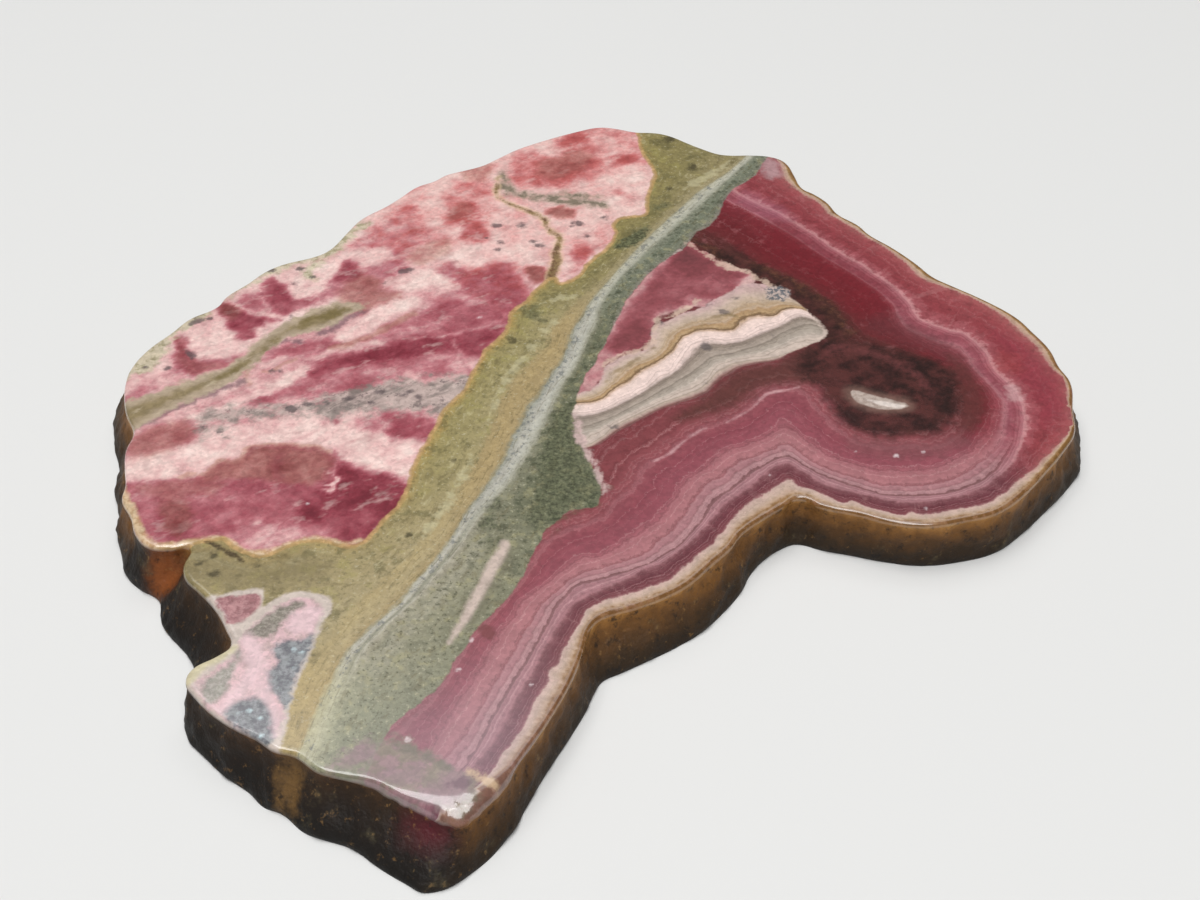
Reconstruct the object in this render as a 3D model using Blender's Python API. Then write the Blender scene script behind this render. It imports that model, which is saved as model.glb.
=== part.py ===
"""A thin slice of banded rhodochrosite, lying flat on its lower cut face.

The slice was sawn from a nodule with a diamond saw and its upper face was polished. The polished face
keeps the outline of the nodule's rind. The rough wall below it leans outwards to a wider lower face.
One short side is a second saw cut, with a scalloped edge that the polishing has rounded over at a corner.
"""

import math

import bmesh
import bpy
from mathutils import Vector, noise

MM = 0.001

# Driving dimensions, in millimetres.
THICKNESS = 5.0
EDGE_ROUND = 0.3
CORNER_ROUND = 2.1
CORNER_REACH = 6.5
CORNER_DROP = 0.42
FOOT_BREAK = 0.3
LUMP_SIZE = 2.4
LUMP_FLATTENING = 1.6
LUMP_HEIGHT = 0.3
NOTCH_LUMP_HEIGHT = 0.75
NOTCH_REACH = 9.0

# The rounded edge from the polished face outwards: share of the width left, share of the drop fallen.
EDGE_STEPS = ((1.0, 0.0), (0.3, 0.3), (0.0, 1.0))

# Steps along the outline between two of its points.
OUTLINE_STEPS = 4

# Faces that meet at more than this many degrees meet in a sharp edge.
SHARP_CORNER = 34.0

# Places on the outline, in millimetres.
SAWN_CORNER = Vector((-10.9, -42.6))
NOTCH = Vector((-35.0, -18.5))

# The outline seen from above, anticlockwise, one stretch at a time. Each row is a point of the polished
# face's edge, then how far the foot of the wall stands out from it: x, y, out x, out y, in millimetres.
RIGHT_OF_CORNER = [
    (-10.9, -42.6, -2.3, -3.7),
    (-9.1, -41.4, -0.2, -2.6),
    (-7.5, -39.2, 0.8, -1.2),
    (-5.9, -36.2, 0.8, -0.5),
    (-4.5, -33.6, 0.7, -0.3),
    (-2.9, -30.1, 0.8, -0.4),
    (-2.0, -27.6, 1.0, -0.5),
    (-1.3, -25.0, 1.1, -0.8),
    (-0.8, -22.7, 1.3, -1.8),
    (0.2, -21.4, 1.5, -2.4),
    (2.7, -20.4, 1.5, -1.9),
    (5.2, -19.2, 1.5, -1.5),
    (7.6, -17.5, 1.5, -1.3),
    (9.9, -14.8, 1.7, -1.0),
    (11.4, -13.1, 1.6, -0.5),
    (12.5, -11.2, 1.3, -0.5),
    (14.7, -9.1, 0.7, -0.4),
    (16.6, -7.6, 0.3, -0.7),
    (18.0, -6.5, 0.0, -1.3),
]
LOBE = [
    (20.0, -7.7, 0.0, -0.8),
    (23.1, -8.6, -0.1, -0.7),
    (25.8, -9.7, 0.0, -0.4),
    (29.2, -10.2, 0.0, -0.4),
    (32.5, -9.5, 0.2, -0.6),
    (35.9, -8.3, 0.3, -0.6),
    (38.7, -5.8, 0.5, -0.5),
    (41.1, -2.8, 0.8, -0.5),
    (43.3, 0.2, 1.2, -0.4),
    (44.8, 2.8, 1.4, -0.2),
    (45.2, 6.0, 1.6, 0.0),
    (45.8, 10.2, 1.4, 0.1),
    (45.1, 12.6, 1.1, 0.3),
    (44.7, 15.3, 1.0, 0.5),
]
FAR_RIGHT_EDGE = [
    (43.4, 18.3, 1.0, 0.4),
    (42.3, 20.5, 0.8, 0.6),
    (39.4, 23.6, 0.7, 0.7),
    (36.4, 26.1, 0.7, 0.8),
    (34.7, 27.6, 0.6, 0.7),
    (33.3, 29.9, 0.9, 0.5),
    (31.0, 33.0, 0.8, 0.7),
    (28.9, 35.3, 0.7, 0.5),
    (27.9, 37.1, 0.9, 0.6),
    (25.9, 39.2, 0.8, 0.6),
    (25.0, 41.4, 0.8, 0.3),
    (23.6, 43.2, 0.7, 0.8),
    (22.5, 44.2, 0.9, 0.4),
    (21.8, 46.8, 1.0, 0.3),
    (21.0, 49.5, 1.0, 0.5),
    (19.8, 50.6, 0.5, 0.8),
    (17.6, 51.1, 0.2, 0.9),
    (13.9, 51.2, 0.4, 0.9),
    (11.9, 52.3, 0.6, 0.8),
    (9.9, 53.8, 0.6, 0.7),
    (8.1, 55.2, 0.5, 0.8),
    (6.2, 55.9, 0.2, 0.9),
    (4.2, 56.0, 0.3, 0.9),
    (2.2, 56.7, 0.2, 0.8),
    (0.0, 57.1, 0.0, 0.8),
]
FAR_LEFT_EDGE = [
    (-2.8, 56.1, -0.3, 0.9),
    (-6.1, 54.4, -0.5, 0.8),
    (-9.5, 52.3, -0.5, 0.7),
    (-11.7, 50.3, -0.6, 0.8),
    (-13.3, 48.9, -0.4, 0.8),
    (-15.3, 47.9, -0.4, 0.9),
    (-17.2, 47.0, -0.4, 0.8),
    (-18.5, 45.7, -0.7, 0.7),
    (-20.3, 44.6, -0.4, 0.8),
    (-22.0, 42.4, -0.8, 0.5),
    (-23.4, 40.7, -0.7, 0.6),
    (-25.9, 38.2, -0.8, 0.6),
    (-27.2, 35.6, -0.9, 0.3),
    (-28.9, 32.2, -0.8, 0.4),
    (-30.4, 31.1, -0.3, 0.9),
    (-33.0, 30.0, -0.5, 0.9),
    (-34.9, 28.6, -0.7, 0.7),
    (-36.5, 26.4, -0.9, 0.6),
    (-38.4, 24.1, -0.9, 0.5),
    (-39.1, 22.3, -0.8, 0.6),
    (-41.5, 20.4, -0.9, 0.9),
    (-43.0, 18.0, -1.2, 0.6),
    (-44.8, 15.4, -1.7, 0.4),
    (-46.0, 12.2, -2.1, 0.0),
]
LEFT_SIDE = [
    (-46.1, 10.1, -2.0, -0.3),
    (-45.7, 7.4, -1.9, -0.4),
    (-45.0, 5.1, -2.0, -0.4),
    (-43.9, 2.6, -2.3, -0.3),
    (-44.2, 0.2, -1.9, -0.4),
    (-43.8, -2.5, -1.5, -0.4),
    (-43.3, -4.8, -1.5, -0.5),
    (-43.3, -6.6, -1.2, -0.6),
    (-42.0, -9.0, -1.7, -0.6),
    (-41.2, -11.2, -1.7, -0.6),
    (-39.6, -12.9, -1.7, -0.7),
    (-37.6, -13.1, -2.3, -1.4),
    (-36.1, -12.9, -3.2, -2.2),
    (-36.3, -15.2, -2.7, -1.5),
    (-35.8, -16.8, -2.7, -1.2),
    (-34.4, -18.3, -3.3, -1.0),
    (-32.7, -20.4, -3.8, -0.3),
    (-31.5, -22.6, -3.8, 0.3),
    (-30.8, -24.7, -3.9, 0.6),
    (-31.7, -25.8, -3.0, 0.1),
    (-33.6, -27.3, -1.2, 0.0),
    (-33.9, -28.7, -0.9, -0.5),
]
SAWN_END = [
    (-33.1, -30.0, -1.1, -0.9),
    (-31.5, -31.8, -0.9, -1.2),
    (-29.5, -33.4, -1.0, -1.5),
    (-27.1, -34.8, -1.2, -1.8),
    (-25.7, -35.9, -1.3, -2.1),
    (-24.0, -36.4, -1.4, -2.3),
    (-22.0, -38.0, -1.5, -2.5),
    (-20.0, -38.6, -1.6, -2.7),
    (-17.7, -39.1, -1.8, -3.0),
    (-15.4, -40.6, -2.0, -3.2),
    (-13.0, -41.8, -2.2, -3.5),
]
OUTLINE = RIGHT_OF_CORNER + LOBE + FAR_RIGHT_EDGE + FAR_LEFT_EDGE + LEFT_SIDE + SAWN_END

# The wall between the polished face's edge and its foot: height as a share of the thickness, how much of
# the lean it has there, and how much of the full lump height.
WALL_LEVELS = [
    (0.80, 0.10, 0.35),
    (0.62, 0.32, 0.9),
    (0.44, 0.58, 1.0),
    (0.26, 0.82, 1.0),
    (0.10, 0.98, 0.5),
]


def remove_all_objects():
    for old in list(bpy.data.objects):
        bpy.data.objects.remove(old, do_unlink=True)


def smooth_outline(points):
    """Return points along a smooth closed curve through the given ones, in the same order."""
    curve = bpy.data.curves.new("outline", "CURVE")
    curve.resolution_u = OUTLINE_STEPS
    spline = curve.splines.new("BEZIER")
    spline.bezier_points.add(len(points) - 1)
    for knot, point in zip(spline.bezier_points, points):
        knot.co = (point.x, point.y, 0.0)
        knot.handle_left_type = "AUTO"
        knot.handle_right_type = "AUTO"
    spline.use_cyclic_u = True
    guide = bpy.data.objects.new("outline", curve)
    mesh = bpy.data.meshes.new_from_object(guide)
    loop = [vertex.co.xy for vertex in mesh.vertices]
    bpy.data.objects.remove(guide)
    bpy.data.meshes.remove(mesh)
    bpy.data.curves.remove(curve)
    return loop


def outward_normals(loop):
    """Return the unit normal at each point of an anticlockwise loop, pointing out of it."""
    normals = []
    for index, point in enumerate(loop):
        along = loop[(index + 1) % len(loop)] - loop[index - 1]
        normals.append(Vector((along.y, -along.x)).normalized())
    return normals


def nearness(point, place, reach):
    """Return 1 at the place, falling evenly to 0 at the reach."""
    return max(0.0, 1.0 - (point - place).length / reach)


def edge_round(point):
    """Return the width of the rounded edge, which widens towards the sawn corner."""
    return EDGE_ROUND + (CORNER_ROUND - EDGE_ROUND) * nearness(point, SAWN_CORNER, CORNER_REACH)


def edge_drop(point):
    """Return how far the rounded edge falls from the polished face to its outer line."""
    return EDGE_ROUND + CORNER_DROP * (edge_round(point) - EDGE_ROUND)


def lump(point, height):
    """Return how far the rough wall stands out at a place, in millimetres."""
    size = LUMP_HEIGHT + (NOTCH_LUMP_HEIGHT - LUMP_HEIGHT) * math.sqrt(nearness(point, NOTCH, NOTCH_REACH))
    return size * noise.noise(Vector((point.x, point.y, height * LUMP_FLATTENING)) / LUMP_SIZE)


def wall_rings():
    """Return the closed rings of points from the polished face down to the lower face."""
    rim = smooth_outline([Vector(row[:2]) for row in OUTLINE])
    foot = smooth_outline([Vector((x + out_x, y + out_y)) for x, y, out_x, out_y in OUTLINE])
    rim_normals = outward_normals(rim)
    foot_normals = outward_normals(foot)

    rings = []
    for turned_in, fallen in EDGE_STEPS:
        rings.append([
            (point - normal * edge_round(point) * turned_in).to_3d()
            + Vector((0.0, 0.0, THICKNESS - edge_drop(point) * fallen))
            for point, normal in zip(rim, rim_normals)
        ])
    for share, lean, roughness in WALL_LEVELS:
        ring = []
        for top, bottom, normal in zip(rim, foot, foot_normals):
            height = share * (THICKNESS - edge_drop(top))
            point = top.lerp(bottom, lean)
            point = point + normal * roughness * lump(point, height)
            ring.append(Vector((point.x, point.y, height)))
        rings.append(ring)
    rings.append([
        (point - normal * FOOT_BREAK).to_3d()
        for point, normal in zip(foot, foot_normals)
    ])
    return rings


def slice_mesh():
    """Loft the rings into one closed solid, centred over its lower face's middle, in metres."""
    rings = wall_rings()
    everything = [point for ring in rings for point in ring]
    middle = Vector((
        (min(p.x for p in everything) + max(p.x for p in everything)) / 2,
        (min(p.y for p in everything) + max(p.y for p in everything)) / 2,
        0.0,
    ))
    body = bmesh.new()
    loops = [[body.verts.new((point - middle) * MM) for point in ring] for ring in rings]
    for upper, lower in zip(loops, loops[1:]):
        for index in range(len(upper)):
            following = (index + 1) % len(upper)
            body.faces.new((upper[index], lower[index], lower[following], upper[following]))
    body.faces.new(loops[0])
    body.faces.new(list(reversed(loops[-1])))
    bmesh.ops.recalc_face_normals(body, faces=body.faces)
    bmesh.ops.triangulate(body, faces=body.faces)
    mesh = bpy.data.meshes.new("slice")
    body.to_mesh(mesh)
    body.free()
    mesh.shade_smooth()
    mesh.set_sharp_from_angle(angle=math.radians(SHARP_CORNER))
    return mesh


def banded_stone_material():
    """Polished rose-red carbonate, the slice's main colour."""
    material = bpy.data.materials.new("banded_stone")
    material.use_nodes = True
    shader = material.node_tree.nodes["Principled BSDF"]
    shader.inputs["Base Color"].default_value = (0.45, 0.13, 0.16, 1.0)
    shader.inputs["Roughness"].default_value = 0.18
    shader.inputs["Metallic"].default_value = 0.0
    return material


def build():
    remove_all_objects()
    collection = bpy.data.collections.new("rhodochrosite_slice")
    bpy.context.scene.collection.children.link(collection)
    mesh = slice_mesh()
    mesh.materials.append(banded_stone_material())
    collection.objects.link(bpy.data.objects.new("slice", mesh))


build()
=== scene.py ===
import math

import bmesh
import bpy
import numpy as np
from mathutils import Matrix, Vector, geometry, noise


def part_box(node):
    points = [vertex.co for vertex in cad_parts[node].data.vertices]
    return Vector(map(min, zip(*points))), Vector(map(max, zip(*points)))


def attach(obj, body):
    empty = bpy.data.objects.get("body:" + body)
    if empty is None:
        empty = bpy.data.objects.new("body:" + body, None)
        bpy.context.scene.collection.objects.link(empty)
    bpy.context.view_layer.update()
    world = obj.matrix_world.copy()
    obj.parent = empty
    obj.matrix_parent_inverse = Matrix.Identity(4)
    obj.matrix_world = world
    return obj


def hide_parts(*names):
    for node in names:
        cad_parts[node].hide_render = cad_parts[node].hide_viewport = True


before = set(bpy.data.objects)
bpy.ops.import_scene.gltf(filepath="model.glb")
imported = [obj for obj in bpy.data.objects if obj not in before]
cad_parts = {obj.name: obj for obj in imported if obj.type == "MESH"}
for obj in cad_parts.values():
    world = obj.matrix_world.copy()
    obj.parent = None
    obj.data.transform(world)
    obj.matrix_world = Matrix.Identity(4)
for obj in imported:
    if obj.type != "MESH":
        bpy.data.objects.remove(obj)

scene = bpy.context.scene
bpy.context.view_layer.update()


# The camera looks down at the polished face from the near end, tipped 41 degrees below the horizon.
view = bpy.data.cameras.new("view")
view.lens = 57.0
view.sensor_width = 36.0
camera = bpy.data.objects.new("view", view)
scene.collection.objects.link(camera)
camera.location = (0.00045, -0.13931, 0.1210)
camera.rotation_euler = (math.radians(49.0), 0.0, 0.0)
scene.camera = camera


# The slice is one plate of solid carbonate, cut from a nodule with a diamond saw. The wall keeps the
# nodule's rough rind. The upper face is ground flat and polished, and the lower face is left as sawn.
MM = 0.001
CELL = 0.275
LOWER_CELL = 1.9
PIT_DEPTH = 0.42
POLISHED_BAND = 0.42
CORNER_BAND = 0.95
RIM_GAP = 0.2

low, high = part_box("slice")
top = high[2]


def edit_only(piece):
    bpy.ops.object.select_all(action="DESELECT")
    piece.select_set(True)
    bpy.context.view_layer.objects.active = piece
    bpy.ops.object.mode_set(mode="EDIT")


def open_edges(mesh, height):
    """Return the ends of the open edges at a height as point numbers."""
    used = {}
    for face in mesh.polygons:
        for key in face.edge_keys:
            used[key] = used.get(key, 0) + 1
    return [key for key, times in used.items()
            if times == 1 and abs(mesh.vertices[key[0]].co.z - height) < 0.00002]


def spacing(starts, ends, x, y):
    """Return each point's distance to the nearest of some straight steps."""
    nearest = np.full(x.shape, 1e9)
    for (ax, ay), (bx, by) in zip(starts, ends):
        run_x, run_y = bx - ax, by - ay
        length = run_x * run_x + run_y * run_y + 1e-12
        share = np.clip(((x - ax) * run_x + (y - ay) * run_y) / length, 0.0, 1.0)
        away = (x - ax - share * run_x) ** 2 + (y - ay - share * run_y) ** 2
        np.minimum(nearest, away, out=nearest)
    return np.sqrt(nearest)


def enclosed(starts, ends, x, y):
    """Return which points the steps shut in, counting how many of them each point looks across."""
    within = np.zeros(x.shape, bool)
    for (ax, ay), (bx, by) in zip(starts, ends):
        if ay != by:
            within ^= ((ay > y) != (by > y)) & (x < ax + (y - ay) * (bx - ax) / (by - ay))
    return within


# The wall: the two cut faces are taken off a copy, and the band that is left is smoothed once.
stone = bpy.data.objects.new("banded_slice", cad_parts["slice"].data.copy())
stone.data.materials.clear()
scene.collection.objects.link(stone)
edit_only(stone)
bpy.ops.mesh.select_all(action="SELECT")
bpy.ops.mesh.remove_doubles(threshold=0.000005)
bpy.ops.mesh.select_all(action="DESELECT")
body = bmesh.from_edit_mesh(stone.data)
for face in body.faces:
    middle_height = face.calc_center_median().z
    face.select = abs(face.normal.z) > 0.99 and (middle_height > top - 0.00001 or middle_height < 0.00001)
bmesh.update_edit_mesh(stone.data)
bpy.ops.mesh.delete(type="FACE")
bpy.ops.mesh.select_all(action="SELECT")
bpy.ops.mesh.tris_convert_to_quads(face_threshold=math.pi, shape_threshold=math.pi)
bpy.ops.mesh.mark_sharp(clear=True)
bpy.ops.object.mode_set(mode="OBJECT")
smoothing = stone.modifiers.new("smoothing", "SUBSURF")
smoothing.levels = 1
smoothing.render_levels = 1
bpy.ops.object.modifier_apply(modifier=smoothing.name)

# Points that crowd together round the sawn corner become one.
edit_only(stone)
bpy.ops.mesh.select_all(action="DESELECT")
body = bmesh.from_edit_mesh(stone.data)
for vertex in body.verts:
    vertex.select = vertex.is_boundary
bmesh.update_edit_mesh(stone.data)
bpy.ops.mesh.remove_doubles(threshold=0.00012)
bpy.ops.object.mode_set(mode="OBJECT")


def cut_face(edge_height, cell):
    """Close one side of the wall with small squares, and with triangles along the wall's edge."""
    wall = stone.data
    edge = open_edges(wall, edge_height)
    starts = np.array([wall.vertices[a].co.xy for a, b in edge])
    ends = np.array([wall.vertices[b].co.xy for a, b in edge])
    width, depth = high[0] - low[0], high[1] - low[1]
    bpy.ops.object.select_all(action="DESELECT")
    bpy.ops.mesh.primitive_grid_add(
        x_subdivisions=int(width / MM / cell),
        y_subdivisions=int(depth / MM / cell),
        size=1.0,
        location=(0.0, 0.0, edge_height),
    )
    face = bpy.context.object
    face.scale = (width, depth, 1.0)
    bpy.ops.object.transform_apply(location=True, rotation=True, scale=True)
    place = np.empty(len(face.data.vertices) * 3)
    face.data.vertices.foreach_get("co", place)
    x, y = place[0::3], place[1::3]
    keep = enclosed(starts, ends, x, y)
    near = np.flatnonzero(keep)
    keep[near] = spacing(starts, ends, x[near], y[near]) > max(RIM_GAP, cell * 0.45) * MM
    edit_only(face)
    bpy.ops.mesh.select_all(action="DESELECT")
    bpy.ops.mesh.select_mode(type="VERT")
    squares = bmesh.from_edit_mesh(face.data)
    for vertex, kept in zip(squares.verts, keep):
        vertex.select = not kept
    bmesh.update_edit_mesh(face.data)
    bpy.ops.mesh.delete(type="VERT")
    bpy.ops.mesh.select_all(action="SELECT")
    bpy.ops.mesh.delete_loose(use_verts=True, use_edges=True, use_faces=False)
    bpy.ops.object.mode_set(mode="OBJECT")

    # The gap between the squares and the wall's edge.
    inner = open_edges(face.data, edge_height)
    inner_starts = np.array([face.data.vertices[a].co.xy for a, b in inner])
    inner_ends = np.array([face.data.vertices[b].co.xy for a, b in inner])
    points = {}
    sides = []
    for group_starts, group_ends in ((starts, ends), (inner_starts, inner_ends)):
        for a, b in zip(group_starts, group_ends):
            sides.append(tuple(points.setdefault(tuple(p), len(points)) for p in (a, b)))
    found = geometry.delaunay_2d_cdt([Vector(p) / MM for p in points], sides, [], 0, 0.00001)
    corners, triangles = found[0], found[2]
    middles = np.array([sum((corners[i] for i in t), Vector((0.0, 0.0))) / 3 for t in triangles]) * MM
    in_gap = enclosed(starts, ends, *middles.T) & ~enclosed(inner_starts, inner_ends, *middles.T)
    strip = bpy.data.meshes.new("strip")
    strip.from_pydata(
        [(p.x * MM, p.y * MM, edge_height) for p in corners], [],
        [t for t, wanted in zip(triangles, in_gap) if wanted],
    )
    rest = bpy.data.objects.new("strip", strip)
    scene.collection.objects.link(rest)
    bpy.ops.object.select_all(action="DESELECT")
    for part in (face, rest, stone):
        part.select_set(True)
    bpy.context.view_layer.objects.active = stone
    bpy.ops.object.join()
    return starts / MM, ends / MM


rim = cut_face(top, CELL)
cut_face(0.0, LOWER_CELL)
edit_only(stone)
bpy.ops.mesh.select_all(action="SELECT")
bpy.ops.mesh.remove_doubles(threshold=0.000002)
bpy.ops.mesh.select_all(action="SELECT")
bpy.ops.mesh.delete_loose(use_verts=True, use_edges=True, use_faces=False)
bpy.ops.mesh.select_all(action="SELECT")
bpy.ops.mesh.normals_make_consistent(inside=False)
bpy.ops.object.mode_set(mode="OBJECT")

# The rind is pitted and lumpy: its points go in by up to a few tenths of a millimetre.
outwards = [vertex.normal.copy() for vertex in stone.data.vertices]
for vertex, outward in zip(stone.data.vertices, outwards):
    height = vertex.co.z / MM
    share = min(1.0, height / 0.8, (top / MM - POLISHED_BAND - height) / 0.6)
    if share > 0.0:
        lump = noise.noise(vertex.co / MM / 2.6 + Vector((3.0, 0.0, 0.0)))
        crust = noise.noise(vertex.co / MM / 0.9)
        pitted = min(1.0, max(0.0, 0.5 + 0.6 * lump + 0.6 * crust))
        inward = Vector((-outward.x, -outward.y, 0.0)).normalized()
        vertex.co += inward * (PIT_DEPTH * MM * share * pitted)

# The rounded corner at the sawn end is rubbed smooth, where the wall's points run together.
edit_only(stone)
bpy.ops.mesh.select_all(action="DESELECT")
bpy.ops.object.mode_set(mode="OBJECT")
for vertex in stone.data.vertices:
    from_knot = math.hypot(vertex.co.x / MM + 10.55, vertex.co.y / MM + 47.1)
    vertex.select = from_knot < 1.1 and vertex.co.z > top - 1.0 * MM
bpy.ops.object.mode_set(mode="EDIT")
bpy.ops.mesh.remove_doubles(threshold=0.00017)
bpy.ops.mesh.vertices_smooth(factor=0.5, repeat=10)
bpy.ops.object.mode_set(mode="OBJECT")


# Where each of the stone's points lies, in the millimetres that the markings are drawn in.
DRAWN_FROM = (-0.4525, 5.8694)
REACH = 8.0
count = len(stone.data.vertices)
place = np.empty(count * 3)
stone.data.vertices.foreach_get("co", place)
x = place[0::3] / MM + DRAWN_FROM[0]
y = place[1::3] / MM + DRAWN_FROM[1]


def smooth(points, closed=False):
    """Return a smooth line through the points, in steps of about a third of a millimetre."""
    knots = [np.array(p, float) for p in points]
    last = len(knots)
    line = []
    for index in range(last if closed else last - 1):
        if closed:
            a, b, c, d = (knots[(index + step) % last] for step in (-1, 0, 1, 2))
        else:
            a, b, c, d = (knots[min(max(index + step, 0), last - 1)] for step in (-1, 0, 1, 2))
        steps = max(1, int(np.linalg.norm((c - b)[:2]) / 0.35))
        for t in np.arange(steps) / steps:
            line.append(0.5 * (2 * b + (c - a) * t + (2 * a - 5 * b + 4 * c - d) * t * t
                               + (3 * b - a - 3 * c + d) * t ** 3))
    if not closed:
        line.append(knots[-1])
    return np.array(line)


def near_to(line, reach):
    return np.flatnonzero((x > line[:, 0].min() - reach) & (x < line[:, 0].max() + reach)
                          & (y > line[:, 1].min() - reach) & (y < line[:, 1].max() + reach))


def area(points, reach=REACH):
    """Return how far each point lies outside a closed outline, less than nothing inside it."""
    line = smooth(points, closed=True)
    starts, ends = line, np.roll(line, -1, axis=0)
    away = np.full(count, reach)
    near = near_to(line, reach)
    distance = spacing(starts, ends, x[near], y[near])
    away[near] = np.where(enclosed(starts, ends, x[near], y[near]), -distance, distance)
    return np.minimum(away, reach)


def streak(width, points, reach=REACH):
    """Return how far each point lies outside a line of some width. A point may give its own width."""
    line = smooth([p if len(p) == 3 else (p[0], p[1], width) for p in points])
    away = np.full(count, reach)
    near = near_to(line, reach)
    px, py = x[near], y[near]
    nearest = np.full(px.shape, reach)
    for (ax, ay, aw), (bx, by, bw) in zip(line, line[1:]):
        run_x, run_y = bx - ax, by - ay
        share = np.clip(((px - ax) * run_x + (py - ay) * run_y) / (run_x ** 2 + run_y ** 2 + 1e-9), 0.0, 1.0)
        gap = np.hypot(px - ax - share * run_x, py - ay - share * run_y)
        np.minimum(nearest, gap - 0.5 * (aw + share * (bw - aw)), out=nearest)
    away[near] = nearest
    return away


def side_of(points, closing):
    """Return the distance to a smooth line, above nothing on the side that the closing points shut in."""
    line = smooth(points)
    distance = spacing(line, line[1:], x, y)
    loop = np.array(list(map(tuple, line)) + closing)
    return np.where(enclosed(loop, np.roll(loop, -1, axis=0), x, y), distance, -distance)


def levels(sides):
    """Return how many of the nested lines each point has passed, with its share of the way to the next."""
    total = np.zeros(count)
    for outer, inner in zip(sides, sides[1:]):
        total += np.clip(outer / np.maximum(outer - inner, 1e-6), 0.0, 1.0) * (outer > 0)
    return total


def mark(name, values):
    """Keep a number for each point of the stone, for its colours to be laid by."""
    stone.data.attributes.new(name, "FLOAT", "POINT").data.foreach_set("value", np.asarray(values, np.float32))


# The colours of the stone are laid one over another in one group, which every finish of it uses.
colours = bpy.data.node_groups.new("stone_colours", "ShaderNodeTree")


def node(kind, settings=None, **sockets):
    made = colours.nodes.new(kind)
    for key, value in (settings or {}).items():
        setattr(made, key, value)
    for key, value in sockets.items():
        socket = made.inputs[int(key[1:]) if key[0] == "i" and key[1:].isdigit() else key.replace("_", " ")]
        if isinstance(value, bpy.types.NodeSocket):
            colours.links.new(value, socket)
        else:
            socket.default_value = value
    return made


def marked(name):
    return node("ShaderNodeAttribute", {"attribute_name": name}).outputs["Fac"]


def sum_of(first, second):
    return node("ShaderNodeMath", {"operation": "ADD"}, i0=first, i1=second).outputs[0]


def times(first, second):
    return node("ShaderNodeMath", {"operation": "MULTIPLY"}, i0=first, i1=second).outputs[0]


def between(value, start, end, low_value=0.0, high_value=1.0):
    """Ease from one value to the other as the number goes from start to end."""
    return node("ShaderNodeMapRange", {"interpolation_type": "SMOOTHSTEP"}, Value=value, From_Min=start,
                From_Max=end, To_Min=low_value, To_Max=high_value).outputs[0]


def colour(red, green, blue):
    """Return a colour named in the 0 to 255 steps of a screen as amounts of light."""
    return tuple(((c / 255 + 0.055) / 1.055) ** 2.4 if c > 10 else c / 3294.6 for c in (red, green, blue)) + (1.0,)


def laid(under, over, share):
    """Lay one colour over another by a share."""
    mixed = node("ShaderNodeMix", {"data_type": "RGBA"}, i0=share, i6=under, i7=over)
    return mixed.outputs[2]


def ramp(value, span, stops):
    """Colours along a number, each given as its place on a run of some length and a colour."""
    made = node("ShaderNodeValToRGB", Fac=times(value, 1.0 / span))
    steps = made.color_ramp.elements
    steps.remove(steps[1])
    for number, (at, shade) in enumerate(stops):
        step = steps.new(at / span) if number else steps[0]
        step.position = at / span
        step.color = colour(*shade)
    return made.outputs["Color"]


spot = node("ShaderNodeTexCoord").outputs["Object"]


def grain(size, detail=2.0, roughness=0.5, stretch=None, turn=0.0, wander=0.0):
    """Cloudy light and dark of a size in millimetres, about 0.5, stretched along a direction."""
    where = spot
    if stretch:
        where = node("ShaderNodeMapping", {"vector_type": "TEXTURE"}, Vector=where,
                     Rotation=(0.0, 0.0, math.radians(turn)), Scale=(stretch, 1.0, 1.0)).outputs[0]
    return node("ShaderNodeTexNoise", Vector=where, Scale=1.0 / (size * MM), Detail=detail,
                Roughness=roughness, Distortion=wander).outputs["Fac"]


# Small wanderings of every edge between two colours, a few tenths of a millimetre.
wander = sum_of(times(sum_of(grain(1.3, 3.0, 0.6), -0.5), 0.9), times(sum_of(grain(0.35, 2.0), -0.5), 0.25))


def within(name, soft=0.12, rough=1.0, grow=0.0):
    """Return the share of a marked area, with an edge that is soft over so many millimetres."""
    edge = sum_of(marked(name), times(wander, rough)) if rough else marked(name)
    return between(edge, grow + soft, grow - soft)


def touch(under, name, away, shade, share=1.0, soft=0.2, rough=1.0):
    """Lay a colour over the marked area that the distances give."""
    mark(name, away)
    return laid(under, shade, times(within(name, soft, rough), share))


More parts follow.
